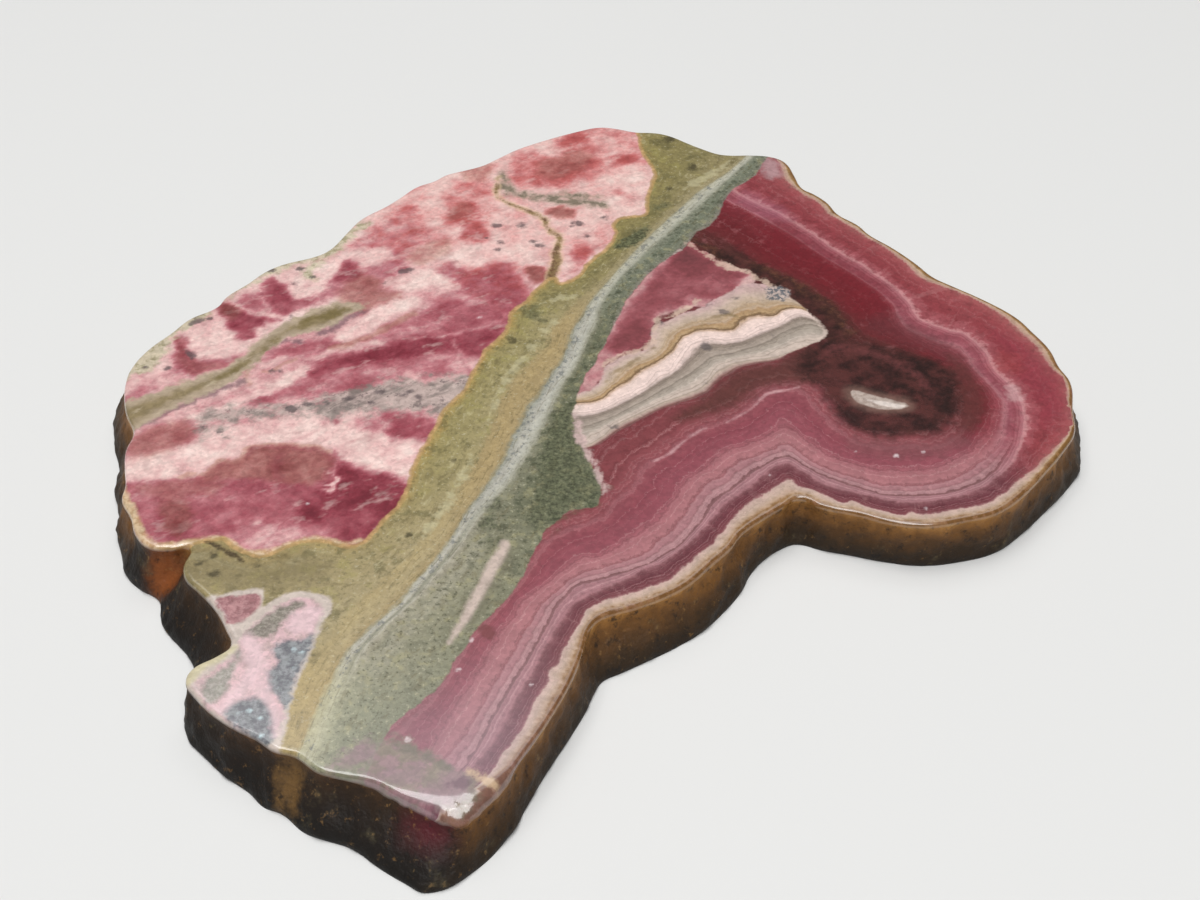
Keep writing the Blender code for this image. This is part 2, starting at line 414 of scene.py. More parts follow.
# The right-hand side grew inwards from the rind in scalloped layers: a cream skin first, then wine, mauve
# and rose, with thin grey lines where the growth paused. Each line here is the inner edge of one layer.
skin_edge = [
    (-10.4, -41.2), (-9.3, -39.6), (-8.4, -38), (-8, -37.2), (-7.6, -36.2), (-6.9, -35.2), (-6.4, -34),
    (-5.9, -32.8), (-5.4, -31.2), (-4.9, -30), (-4.3, -28.8), (-4.2, -27.6), (-3.4, -26.8), (-3.2, -25.8),
    (-2.8, -24.6), (-2.4, -23.6), (-1.7, -22.2), (-1.2, -20.8), (-.4, -20), (1, -19.2), (3, -18.5), (5, -17.5),
    (6, -17), (6.8, -16), (8, -14.8), (8.8, -13.6), (10, -12.6), (10.4, -11.6), (11, -10.8), (11.7, -9.5),
    (12.8, -8), (13.8, -6.8), (15, -5.8), (16.2, -4.8), (17.2, -3.9), (17.7, -4.1), (17.9, -4.9), (19, -5.4),
    (20.2, -6), (21.9, -7.3), (22.8, -7), (24, -7.7), (25.1, -8.2), (26.2, -8.7), (27.4, -8.8), (28, -8.3),
    (28.7, -8.8), (30.5, -8.6), (31.9, -8.1), (33.3, -7.8), (34.9, -7.4), (36, -6.4), (37.1, -5.6),
    (38.5, -3.9), (40.1, -2.5), (40.8, -1.4), (41.9, -.3), (43, 1.1), (44.2, 2.5), (44.9, 4.5), (45, 8.7),
    (45.2, 10.6), (44.3, 12), (43.7, 13.9), (43.4, 15.5), (42.6, 17.2), (41.7, 18.9), (40.9, 20.5),
    (39.8, 21.9), (38.7, 23.3), (37, 24.7), (35.3, 25.8), (33.7, 26.9), (32.8, 28), (32, 30), (30.9, 31.7),
    (29.8, 33.3), (28.7, 34.4), (27.5, 36.1), (26.2, 37.5), (25, 38.9), (24.2, 40.5), (23.4, 41.9), (22.3, 43),
    (21.4, 44.4), (20.6, 45.8), (20.3, 47.8), (20, 51),
]
wine_edge = [
    (-12.6, -42), (-11.2, -39.8), (-10.2, -38), (-9.6, -37.2), (-8.8, -36), (-8.2, -34.4), (-7.6, -33),
    (-7, -31.4), (-6.4, -29.8), (-5.8, -28.4), (-5.2, -27), (-4.8, -25.6), (-4.2, -24.2), (-3.6, -22.8),
    (-3, -21.4), (-2.2, -20), (-1, -19), (1, -17.8), (2.5, -16.8), (4, -15.6), (5.4, -15), (6.6, -13.8),
    (8, -12.4), (8.8, -11.2), (9.6, -10), (10.4, -8.8), (11.2, -7.6), (12.2, -6.6), (13.4, -5.4), (14.6, -4),
    (15.6, -2.8), (16.8, -2), (17.5, -1.9), (18.2, -2.6), (19.2, -3.6), (20.1, -4.6), (21.7, -5.5), (23.5, -6),
    (25.1, -6.6), (26.7, -7.1), (28.5, -7.2), (30.1, -7), (31.7, -6.6), (33.3, -6), (34.9, -5.2), (36.2, -3.9),
    (37.4, -2.8), (38.3, -1.4), (39, 0), (39.6, 1.3), (40.1, 2.9), (40.4, 4.5), (40.5, 6.1), (40.4, 7.5),
    (40.1, 9.2), (38.6, 12.2), (38.4, 14.5), (37.2, 17), (36.4, 18), (35.3, 18.3), (33.9, 19.2), (32.6, 20),
    (32.1, 21.1), (31.9, 22.2), (31.4, 23.9), (30.6, 25.3), (29.8, 26.7), (28.7, 28), (27.8, 29.4),
    (26.7, 30.5), (25.6, 31.7), (24.5, 33), (23.7, 34.2), (22.8, 35.5), (21.7, 36.7), (20.6, 38), (19.5, 39.4),
    (18.1, 40.5), (16.7, 41.7), (15.6, 42.8), (14.5, 44.5),
]
grey_line = [
    (-13.2, -42), (-11.8, -39.8), (-10.4, -37.4), (-9.8, -36), (-9.2, -34.4), (-8.8, -33), (-8.2, -31.6),
    (-7.6, -30), (-7, -28.6), (-6.4, -27.2), (-5.7, -25.6), (-5.2, -24.4), (-4.8, -23), (-4.2, -21.6),
    (-3.8, -20.2), (-3, -19), (-2, -17.6), (1, -16.6), (3.2, -15.6), (4.6, -14.9), (5.6, -14), (6.8, -13),
    (7.8, -11.6), (8.6, -10.4), (9.2, -9.2), (9.8, -8), (10.2, -7.2), (11.2, -6), (12.4, -4.8), (13.6, -3.4),
    (14.8, -2.4), (16, -1.4), (17.2, -.8), (18, -1.2), (18.7, -2.1), (20.5, -3.5), (22.4, -4.6), (24.2, -5.5),
    (25.5, -6.1), (27.4, -6.3), (29.2, -6.2), (31, -6), (32.4, -5.6), (34, -4.8), (35.1, -4.1), (36.2, -3),
    (37.1, -1.6), (37.8, -.3), (38.5, 1.1), (39, 2.9), (39.4, 4.5), (39.6, 6.1), (39.5, 7.6), (39, 9.2),
    (37.7, 12.2), (37.3, 14.5), (36.3, 16.6), (35.6, 17.2), (34.6, 17.6), (33, 18.6), (31.8, 19.6),
    (31.1, 21), (30.9, 22.2), (30.4, 23.6), (29.6, 25), (28.8, 26.3), (27.8, 27.5), (26.9, 28.8), (25.8, 29.9),
    (24.7, 31.1), (23.7, 32.4), (22.9, 33.6), (22, 34.9), (20.9, 36.1), (19.8, 37.4), (18.7, 38.8),
    (17.4, 39.8), (16, 41), (14.9, 42), (13.8, 43.6),
]
pause_line = [
    (-15, -41.4), (-13.6, -39), (-12.2, -37), (-11.6, -36), (-10.7, -34.6), (-10.2, -33), (-9.6, -31.6),
    (-9, -30), (-8.4, -28.6), (-7.6, -26.6), (-6.9, -25), (-6.4, -23.4), (-5.8, -22), (-5.2, -20.6), (-4, -18.8),
    (-2, -16.6), (0, -15.6), (2, -14.8), (4, -13.8), (5, -12.4), (6, -11.4), (7, -10), (7.8, -8.4), (8.4, -7),
    (9.2, -5.6), (10, -4.4), (11, -3.8), (12, -2.6), (13, -1.6), (14.2, -1), (15.2, -.4), (16.4, .2),
    (17.5, .95), (18.7, -.5), (20.1, -2.1), (21.7, -3.2), (23.3, -3.9), (25.1, -4.7), (26.9, -5), (28.7, -5),
    (30.5, -4.7), (32.4, -4), (34, -2.9), (35.3, -1.6), (36.5, -.3), (37.6, 1.1), (38.2, 2.9), (38.6, 4.5),
    (38.9, 6.1), (38.8, 7.6), (38.2, 9.2), (36.9, 12.2), (36.4, 14.5), (35.5, 16), (34.6, 16.4), (33.6, 16.9),
    (32.2, 17.8), (31, 18.9), (30.4, 20.6), (30.2, 22), (29.7, 23.2), (28.9, 24.6), (28.1, 25.8), (27.1, 27),
    (26.1, 28.2), (25.1, 29.4), (24, 30.6), (23, 31.8), (22.1, 33), (21.2, 34.3), (20.2, 35.5), (19, 36.8),
    (17.9, 38.1), (16.7, 39.2), (15.3, 40.3), (14.2, 41.4), (13, 42.8),
]
rose_edge = [
    (-17, -40), (-15, -38), (-13.6, -36.2), (-13.4, -35), (-13, -33.4), (-12.2, -31.8), (-11.6, -30.2),
    (-11, -28.8), (-10.2, -27.2), (-9.6, -25.6), (-9, -24), (-8.7, -23), (-7.6, -21), (-7, -19.4), (-5.8, -18.2),
    (-4.6, -17), (-2, -14), (0, -13.6), (1, -12.6), (2, -11.8), (3, -10.8), (4, -10), (5, -8.8), (5.8, -7.4),
    (6.6, -6), (7, -4.8), (8, -3.4), (9.2, -2.6), (10, -1.4), (10.8, -.2), (12, .6), (13.4, 1.2), (14.8, 2),
    (15.8, 2.8), (16.8, 4), (17.4, 4.7), (18.3, 3.4), (19.6, 1.8), (20.8, .4), (22.1, -.7), (23.7, -1.6),
    (25.5, -2.1), (27.4, -2.3), (29.2, -2.2), (31, -1.9), (32.8, -.7), (34.2, .2), (35.3, 2), (36.2, 3.6),
    (36.9, 5.2), (37.3, 6.8), (37.2, 8.4), (36.4, 10.4), (35.1, 12.6), (33.8, 14.2), (32.3, 15.6), (31, 16.9),
    (29.9, 18.4), (29.3, 20), (29.5, 21.9), (29, 23.7), (28.1, 25.2), (27, 26.8), (25.6, 28.5), (23.9, 30.3),
    (22.6, 31.9), (20.9, 34), (19.2, 36), (17.6, 37.7), (15.6, 40), (13.4, 42), (12, 43.5),
]
raspberry_edge = [
    (-20, -38.5), (-17, -35.6), (-15.2, -33.4), (-13.6, -31.2), (-12.4, -28.8), (-11.6, -26.6), (-10.6, -24.2),
    (-9.2, -22), (-8, -20), (-6.9, -18), (-5.9, -15.6), (-4.6, -12.6), (-2, -10.6), (-.4, -9.8), (.6, -9),
    (1.4, -7.6), (3, -5.4), (3.6, -4.2), (4, -2.8), (4.8, -1.8), (6.6, -.4), (7.4, .6), (8.8, 2.2), (10, 3.2),
    (12, 4), (13.7, 5.3), (15, 6.7), (15.9, 8.1), (17, 8.7), (18, 8.8), (19.2, 8.6), (20.3, 6.8), (21.2, 4.6),
    (22.4, 2.6), (23.9, 1.1), (25.7, .3), (27.6, .1), (29.4, .3), (31, .1), (32.4, .8), (34, 2.3), (35, 4.2),
    (35.4, 6.6), (35.3, 9), (34.6, 11), (33, 13), (30.6, 14.8), (28.2, 16.2), (26.4, 17.6), (25.9, 18.9),
    (25.3, 20.5), (24.5, 21.9), (23.7, 23.3), (22.6, 24.4), (21.4, 25.6), (20.3, 26.4), (18.7, 27.8),
    (17, 29.4), (15.3, 31.1), (13.7, 33.3), (12.4, 35), (10.4, 36.4), (7, 38),
]
inner_side = [(-60, 60), (-60, -60)]
rim = [ends + DRAWN_FROM for ends in rim]
from_rim = np.where(enclosed(*rim, x, y), 1.0, -1.0) * spacing(*rim, x, y)
growth = [from_rim]
for line in (skin_edge, wine_edge, grey_line, pause_line, rose_edge, raspberry_edge):
    growth.append(side_of(line, inner_side))
mark("from_rim", from_rim)
mark("growth", levels(growth) + np.clip(growth[-1] / 4.0, 0.0, 3.0))
mark("far_growth", (x - 36.0 + y + 1.0) * 0.7)

# Fine growth lines follow the layers, and fibres stand across them, fanning inwards from the rind.
trunk = smooth(pause_line)
fibre = np.zeros(count)
nearest = np.full(count, 1e9)
for step, (trunk_x, trunk_y) in enumerate(trunk):
    gap = (x - trunk_x) ** 2 + (y - trunk_y) ** 2
    fibre = np.where(gap < nearest, step, fibre)
    np.minimum(nearest, gap, out=nearest)
mark("fibre", fibre * 0.35)
passing = marked("growth")
passed = sum_of(passing, times(sum_of(grain(1.1, 4.0, 0.65), -0.5), 0.5))
across_fibres = node("ShaderNodeCombineXYZ", X=marked("fibre"), Y=times(passing, 0.35), Z=0.0).outputs[0]
fibres = node("ShaderNodeTexNoise", Vector=across_fibres, Scale=1.3, Detail=4.0, Roughness=0.65).outputs["Fac"]
passed = sum_of(passed, times(times(sum_of(fibres, -0.5), 0.32), between(passing, 6.4, 5.0)))
fine_lines = node("ShaderNodeTexNoise", {"noise_dimensions": "1D"}, W=passed, Scale=5.5, Detail=4.0,
                  Roughness=0.75).outputs["Fac"]
near_layers = ramp(passed, 9.0, [
    (0.00, (126, 88, 46)), (0.16, (146, 110, 70)), (0.34, (180, 152, 128)), (0.60, (192, 167, 151)),
    (0.92, (196, 168, 157)), (1.00, (152, 106, 107)), (1.10, (116, 61, 67)), (1.50, (106, 53, 61)),
    (1.80, (114, 65, 71)), (1.96, (130, 83, 88)), (2.10, (158, 110, 115)), (2.50, (168, 122, 127)),
    (2.80, (156, 110, 115)), (2.92, (130, 90, 92)), (3.06, (138, 96, 98)), (3.16, (172, 128, 131)),
    (3.42, (176, 132, 135)), (3.50, (140, 95, 98)), (3.60, (166, 116, 121)), (3.92, (170, 121, 125)),
    (4.02, (142, 87, 92)), (4.12, (168, 112, 116)), (4.55, (166, 108, 113)), (4.80, (154, 93, 100)),
    (5.05, (143, 76, 86)), (5.60, (136, 68, 78)), (5.92, (140, 74, 82)), (6.04, (160, 98, 104)),
    (6.14, (142, 76, 82)), (6.60, (128, 64, 68)), (7.50, (118, 56, 60)), (9.00, (108, 52, 54)),
])
far_layers = ramp(passed, 9.0, [
    (0.00, (132, 96, 50)), (0.22, (158, 124, 82)), (0.36, (190, 162, 136)), (0.80, (188, 150, 136)),
    (1.00, (160, 90, 90)), (1.20, (148, 70, 74)), (1.66, (138, 58, 64)), (1.92, (158, 84, 90)),
    (2.04, (190, 132, 134)), (2.20, (188, 128, 132)), (2.42, (164, 96, 104)), (3.10, (146, 74, 84)),
    (3.80, (148, 80, 90)), (4.15, (168, 108, 114)), (4.40, (142, 70, 78)), (4.80, (138, 60, 68)),
    (5.10, (118, 40, 48)), (5.50, (106, 32, 38)), (5.90, (102, 36, 39)), (6.05, (90, 39, 37)),
    (6.60, (86, 39, 37)), (9.00, (78, 37, 34)),
])
stone_now = laid(near_layers, far_layers, between(marked("far_growth"), -3.0, 5.0))
stone_now = laid(stone_now, colour(222, 176, 176), times(times(between(fine_lines, 0.54, 0.74), 0.24),
                  between(marked("far_growth"), -3.0, 6.0, 1.0, 0.5)))
stone_now = laid(stone_now, colour(70, 26, 32), times(between(fine_lines, 0.46, 0.28), 0.30))
in_layers = between(passing, 5.4, 4.6)
stone_now = laid(stone_now, colour(226, 176, 174), times(times(between(fibres, 0.54, 0.76), in_layers), 0.16))
stone_now = laid(stone_now, colour(74, 24, 30), times(times(between(fibres, 0.47, 0.26), in_layers), 0.20))
blotches = grain(1.7, 4.0, 0.68)
blotched = between(marked("far_growth"), -3.0, 5.0, 0.30, 1.0)
stone_now = laid(stone_now, colour(184, 118, 122), times(times(between(blotches, 0.54, 0.72), blotched), 0.30))
stone_now = laid(stone_now, colour(98, 34, 40), times(times(between(blotches, 0.47, 0.32), blotched), 0.30))

# Deeper crimson, mauve and wine clouds, and pale healed cracks, within the layers.
for number, (shade, share, soft, outline) in enumerate([
    ((112, 26, 36), 0.62, 1.6, [(17.5, 31), (17, 34), (18.5, 37.8), (20.6, 37), (22.4, 34.4), (25, 31), (27.6, 28),
                                (29.6, 25), (29.8, 22), (28.4, 20.4), (26, 21), (24, 24.4), (21, 28)]),
    ((96, 44, 48), 0.60, 1.2, [(26.8, 18.4), (27.4, 20.6), (29.4, 21), (31.4, 19.4), (33.4, 17.4), (35.4, 15),
                               (36.6, 12), (35.6, 10.4), (34.6, 12), (32.6, 14.2), (29.6, 16)]),
    ((92, 46, 44), 0.75, 1.0, [(34.4, 14), (36.2, 12.6), (37, 9.6), (36.8, 6), (35.4, 3), (34, 2), (34.4, 5),
                               (35, 9), (34.4, 12)]),
    ((86, 50, 44), 0.80, 1.2, [(7, 4.9), (9.4, 7.2), (11.6, 9.8), (13.2, 11.8), (15.4, 12.8), (17.6, 13.4), (19, 14.8),
                               (21, 16), (22.4, 13), (21, 10.2), (19, 9.8), (16.6, 9.6), (15, 8.6), (13.2, 6.8),
                               (11, 5.4), (8.4, 4.4)]),
    ((150, 92, 112), 0.32, 1.0, [(15.4, 41.6), (16, 43.4), (18, 42.2), (20, 40), (20.6, 38.2), (19, 38), (17, 39.6)]),
    ((176, 144, 146), 0.80, 0.8, [(17.8, 50.6), (19.2, 50.8), (20.1, 49), (20.2, 46.8), (19, 46), (18, 47.8)]),
    ((140, 52, 66), 0.55, 1.4, [(39.8, 18), (43.2, 14), (44.6, 9), (44, 5), (41.8, 3.4), (41.6, 8), (40, 12.6)]),
    ((154, 64, 60), 0.30, 0.9, [(38.6, 12), (39.4, 14.6), (41.2, 14.4), (41.6, 12.4), (40.4, 11.4)]),
    ((124, 74, 78), 0.60, 0.8, [(23.2, 0.2), (26, -1), (29.4, -1.2), (32.6, -0.4), (34.6, 1.2), (33.6, 1.6),
                                (30.4, 1.0), (27, 1.2), (24, 1.8)]),
]):
    stone_now = touch(stone_now, f"cloud_{number}", area(outline, 4.0), colour(*shade), share, soft, 3.0)
stone_now = touch(stone_now, "pale_cracks", np.minimum.reduce([
    streak(.2, [(4.8, -1.7, .05), (6.6, -.3, .2), (7.4, .7, .25), (8.8, 2.3, .2), (10, 3.2, .05)], 4.0),
    streak(.2, [(12, 4, .05), (13.7, 5.3, .15), (15, 6.7, .15), (15.9, 8.1, .2), (17, 8.6, .3), (18, 8.8, .35),
                (19.3, 9.3, .1)], 4.0),
]), colour(214, 170, 172), 0.62, 0.18, 0.7)
stone_now = touch(stone_now, "white_patch", area([(39.3, 7), (39.3, 9.4), (40.2, 9.6), (40.5, 7.4)], 4.0),
                  colour(206, 168, 168), 0.5, 0.45, 2.4)


# A wedge of cream, white and grey layers, finer than the rest, lies against the band. Beyond its tip the
# last space was filled with dark wine stone round a small white eye.
wedge_lines = [
    [(-4, 7.6), (-2.4, 8.2), (-1.3, 9), (-.2, 9.8), (.05, 11.8), (1.2, 13.2), (2.5, 14.3), (4.2, 15.1),
     (5, 16.2), (5, 17.9), (5.6, 19.3), (7, 20.1), (8.4, 21.2), (9.8, 21.8), (11.4, 22.8), (12.8, 24.4),
     (14.6, 25.8), (16.4, 25.9), (18.2, 25.4), (20.2, 24.2), (22, 21.6), (24, 18.5)],
    [(-4, 6.6), (-2.4, 6.9), (-.8, 7), (.5, 7.9), (1.2, 9), (2.3, 9.8), (3.9, 11.8), (5.6, 13.2), (7, 14.8),
     (7.8, 16.5), (8.7, 17.6), (10.1, 18.4), (12, 18.3), (13.4, 18.5), (14, 19.6), (15.3, 20.7),
     (17.6, 20.8), (18.9, 21.9), (21, 21.6), (24, 18.2)],
    [(-4, 5.4), (-2.2, 5.4), (0, 5.9), (2, 7.3), (3.7, 8.7), (5.6, 10.9), (7, 12), (8.4, 14.6), (9.2, 16.2),
     (11.2, 17), (13.1, 16.8), (15, 17.7), (17.6, 19.2), (20, 21.2), (22, 20.2), (24, 17.9)],
    [(-4, 2.9), (-2, 3.3), (.6, 4.5), (2.6, 6), (4.2, 7.3), (7, 9.8), (9.8, 12.6), (10.9, 14), (13.4, 14.8),
     (16.2, 16.3), (18.7, 18.3), (21.2, 19.4), (24, 17.6)],
    [(-4, .6), (-1.8, .6), (-.2, 1.6), (1.4, 3.7), (3.7, 5.4), (5.9, 7), (8.4, 8.4), (10, 9.6), (11.4, 11.8),
     (13.4, 13.2), (17.6, 14.2), (21.2, 16.2), (24, 17.3)],
    [(-4, -1), (-1.3, 0), (.3, 1.2), (2, 2.9), (3.9, 4.3), (5.9, 5.9), (7.6, 6.8), (9.2, 7.6), (10.6, 8.7),
     (11.4, 10.1), (12.6, 11.2), (13.9, 12.3), (15.3, 12.9), (17.5, 13.4), (18.7, 14.5), (21.2, 16),
     (24, 17)],
]
lower_side = [(60, -60), (-60, -60)]
wedge = [side_of(line, lower_side) for line in wedge_lines]
mark("wedge", levels(wedge))
mark("wedge_area", area([
    (-5, 7), (-2.4, 8.2), (-1.3, 9), (-.2, 9.8), (.05, 11.8), (1.2, 13.2), (2.5, 14.3), (4.2, 15.1), (5, 16.2),
    (5, 17.9), (5.6, 19.3), (7, 20.1), (8.4, 21.2), (9.8, 21.8), (11.4, 23.4), (13.2, 25.4), (14.6, 26.6),
    (16.6, 26.2), (18.4, 25.2), (20, 23.3), (20.9, 21.9), (21.7, 20.3), (22.4, 18.6), (22.6, 17.5), (21.2, 16.1),
    (18.7, 14.5), (17.5, 13.4), (15.3, 12.9), (13.9, 12.3), (12.6, 11.2), (11.4, 10.1), (10.6, 8.7), (9.2, 7.6),
    (7.6, 6.8), (5.9, 5.9), (3.9, 4.3), (2, 2.9), (.3, 1.2), (-1.3, 0), (-4, -1),
]))
mark("dark_heart", area([
    (13.6, 32.9), (15, 30.7), (16.5, 28.8), (18, 27.2), (19.4, 25.8), (20.3, 24.8), (21.4, 23.6),
    (22.4, 22.4), (23, 21), (23.6, 19.6), (24.2, 18.2), (25.4, 16.8), (28, 15.4), (31, 14.2),
    (33.2, 12.8), (34.4, 11), (34.4, 9), (34, 7), (33.6, 5.4), (32.6, 3.8), (31.2, 2.6), (29, 2.4),
    (27.2, 2.1), (25.5, 2.4), (24, 3.3), (22.8, 4.9), (22, 7.6), (21.2, 9.6), (20, 11), (19.4, 12.6),
    (20.4, 14.4), (22, 16.4), (22.8, 17.5), (22.6, 18.6), (21.7, 20.3), (20.9, 21.9), (20, 23.3), (18.7, 25),
    (17.3, 26.4), (15.6, 27.8), (13.9, 29.4), (12.8, 31.4),
]))
mark("eye", area([
    (24.2, 8.8), (24.9, 8.7), (25.8, 8.2), (27.1, 7.7), (28.3, 7.2), (29.2, 6.9), (29.5, 6.4), (28.7, 6.0),
    (27.4, 5.9), (26, 6.2), (25, 6.7), (24.3, 7.7),
]))

deep = grain(2.2, 4.0, 0.6)
heart = laid(colour(36, 19, 16), colour(80, 41, 38), between(deep, 0.34, 0.66))
stone_now = touch(stone_now, "seam", streak(2.0, [
    (9.4, 34.6, .5), (11, 33, 1.1), (13, 31.2, 1.7), (15.4, 29.3, 2.2), (17.6, 27.5, 2.6), (19.6, 25.6, 2.8),
    (21.4, 23.4, 2.9), (22.8, 21, 3.2), (23.6, 18, 3.6)]), laid(colour(60, 34, 28), colour(96, 60, 44),
    between(grain(0.8, 4.0, 0.7), 0.40, 0.66)), 0.90, 0.55, 2.2)
stone_now = laid(stone_now, heart, times(within("dark_heart", 1.0, 2.4, 0.3), 0.93))
stone_now = touch(stone_now, "heart_ring", streak(.6, [(21.6, 13.6, .2), (23.4, 15.4, .7), (26.4, 14.8, .8),
                  (29.2, 13, .8), (31.2, 10.6, .7), (31.8, 8.4, .3)]), colour(124, 66, 66), 0.45, 0.7, 3.0)
stone_now = laid(stone_now, colour(128, 98, 88), times(within("eye", 0.7, 1.0, 0.55), 0.78))
eye = laid(colour(184, 168, 158), colour(164, 146, 136), between(grain(0.8, 3.0, 0.6), 0.46, 0.62))
stone_now = laid(stone_now, eye, within("eye", 0.14, 0.5))
stone_now = touch(stone_now, "eye_shine", streak(.5, [(25.6, 7.4, .2), (26.8, 6.9, .55), (28.2, 6.45, .6),
                  (29.1, 6.4, .3)]), colour(226, 214, 206), 0.85, 0.16, 0.5)

# The wedge's own layers: cream, then fine ochre and olive lines, white, and greys.
layer_grain = node("ShaderNodeTexNoise", {"noise_dimensions": "1D"}, Scale=7.0, Detail=4.0, Roughness=0.7,
                   W=sum_of(marked("wedge"), times(sum_of(grain(2.6, 3.0, 0.5), -0.5), 0.8))).outputs["Fac"]
layer = sum_of(marked("wedge"), times(sum_of(grain(0.9, 4.0, 0.6), -0.5), 0.30))
wedge_layers = ramp(layer, 6.0, [
    (0.00, (198, 166, 164)), (0.30, (196, 174, 160)), (0.52, (192, 170, 148)), (0.64, (176, 150, 120)),
    (0.70, (190, 166, 142)), (0.78, (172, 140, 104)), (0.88, (184, 154, 116)), (0.94, (140, 112, 82)),
    (1.00, (116, 92, 66)), (1.06, (190, 160, 134)), (1.16, (216, 188, 172)), (1.30, (232, 208, 198)),
    (1.90, (236, 212, 204)), (2.10, (226, 202, 194)), (2.26, (196, 176, 168)), (2.38, (150, 134, 124)),
    (2.52, (140, 126, 114)), (2.80, (162, 148, 136)), (2.96, (170, 156, 144)), (3.04, (134, 122, 110)),
    (3.16, (160, 148, 136)), (3.46, (176, 164, 152)), (3.62, (194, 178, 166)), (4.00, (198, 180, 168)),
    (4.14, (168, 152, 138)), (4.26, (188, 168, 154)), (4.50, (176, 150, 140)), (4.76, (134, 92, 88)),
    (5.00, (108, 60, 62)),
])
wedge_layers = laid(wedge_layers, colour(96, 80, 62), times(between(layer_grain, 0.46, 0.30), 0.30))
wedge_layers = laid(wedge_layers, colour(240, 224, 214), times(between(layer_grain, 0.56, 0.74), 0.25))
stone_now = laid(stone_now, wedge_layers, within("wedge_area", 0.15, 0.8))
stone_now = touch(stone_now, "olive_loop", np.minimum.reduce([
    streak(.35, [(10.2, 18.9, .1), (10.6, 20, .3), (11.8, 20.6, .45), (13, 20.9, .3), (14, 20.4, .1)], 4.0),
    streak(.3, [(5.4, 15.6, .1), (4, 14, .3), (2.6, 12.6, .3), (1.2, 11.4, .2), (.6, 10, .1)], 4.0),
]), colour(140, 120, 88), 0.75, 0.22, 1.2)
for number, (sx, sy, size) in enumerate([(6.2, 19.6, .45), (12.4, 21.5, .45), (10.4, 15.7, .6), (11.3, 22.6, .3),
                                         (1.3, 3.2, .25), (10.3, 9.8, .2), (13.8, 23.6, .2), (17.4, 17.2, .3)]):
    dot = np.hypot((x - sx) * 0.8, y - sy) - size
    wedge_dots = dot if number == 0 else np.minimum(wedge_dots, dot)
stone_now = touch(stone_now, "wedge_dots", np.minimum(wedge_dots, REACH), colour(92, 84, 84), 0.75, 0.24, 1.6)
stone_now = touch(stone_now, "blue_specks", area([(17.2, 23.6), (17.4, 25.4), (18.8, 25.8), (19.6, 24.4), (18.8, 23.4)],
                  4.0), laid(colour(92, 98, 104), colour(190, 172, 164), between(grain(0.5, 3.0, 0.7), 0.46, 0.56)),
                  0.9, 0.25, 2.0)
stone_now = touch(stone_now, "wedge_tip", streak(.4, [(20.9, 21.8, .2), (21.8, 20, .35), (22.6, 17.9, .4),
                  (21.6, 16.6, .4), (19.6, 15.6, .2)], 4.0), colour(206, 188, 176), 0.7, 0.16, 0.8)


# A band of khaki and caramel mudstone crosses the slice from the far side to the sawn end. A thin stripe of
# white carbonate runs along it, with grey-green rock beyond, and gold lines edge it where it meets the rose.
left_contact = [
    (4.2, 60), (4.2, 56.1), (4.5, 54.4), (4.6, 52.8), (5, 50.8), (5.7, 48.9), (6.1, 46.9), (5.8, 45),
    (5.4, 43.3), (5.1, 41.7), (5.1, 39.2), (3.9, 38.6), (2.2, 38.3), (1.4, 36.9), (1.7, 35.6), (1.3, 33.9),
    (.5, 32.2), (-.5, 30.9), (-1.6, 29), (-2, 27.9), (-3, 26.8), (-4.1, 26.2), (-4.7, 27.2), (-5.2, 27.2),
    (-6, 25.9), (-6.9, 24.6), (-7.4, 23.2), (-8.4, 22.2), (-9, 20.9), (-9.2, 19.3), (-9.7, 17.6),
    (-10.5, 16.2), (-11.5, 14.8), (-11.7, 13.4), (-12.2, 12.1), (-12.6, 10.7), (-13, 9), (-13.8, 7.6),
    (-14.5, 6.5), (-15.1, 5.1), (-15.5, 3.2), (-16.2, 1), (-16.7, -.5), (-17.2, -2.7), (-17.5, -5.2),
    (-18, -7.4), (-19.2, -9.4), (-20, -11), (-20.8, -12.4), (-21.9, -13), (-23.3, -12.6), (-25, -12.2),
    (-26.4, -12.4), (-27.8, -13.1), (-28.9, -14), (-30, -14.1), (-31.1, -13.7), (-32.2, -13), (-33.3, -11.9),
    (-34.4, -12.2), (-35.6, -12.4), (-36.1, -12.8), (-40, -13.5),
]
caramel_side = [
    (18, 54), (14.6, 48.5), (10.4, 43.6), (7.1, 38.6), (4, 33.6), (.6, 27.3), (-1.6, 24), (-3, 21.8),
    (-3.5, 20.7), (-4.7, 18.4), (-4.9, 16.2), (-5.8, 14.6), (-6.9, 12.9), (-7.7, 11.2), (-8.5, 9.6),
    (-9.4, 7.3), (-9.7, 5.1), (-9.9, 2.9), (-10.8, .1), (-12, -4), (-13.6, -8), (-15.6, -12.6), (-18, -16.4),
    (-20.2, -20), (-22.2, -24), (-23.6, -27), (-24.6, -30), (-25, -34), (-25.6, -37.5), (-27, -42),
]
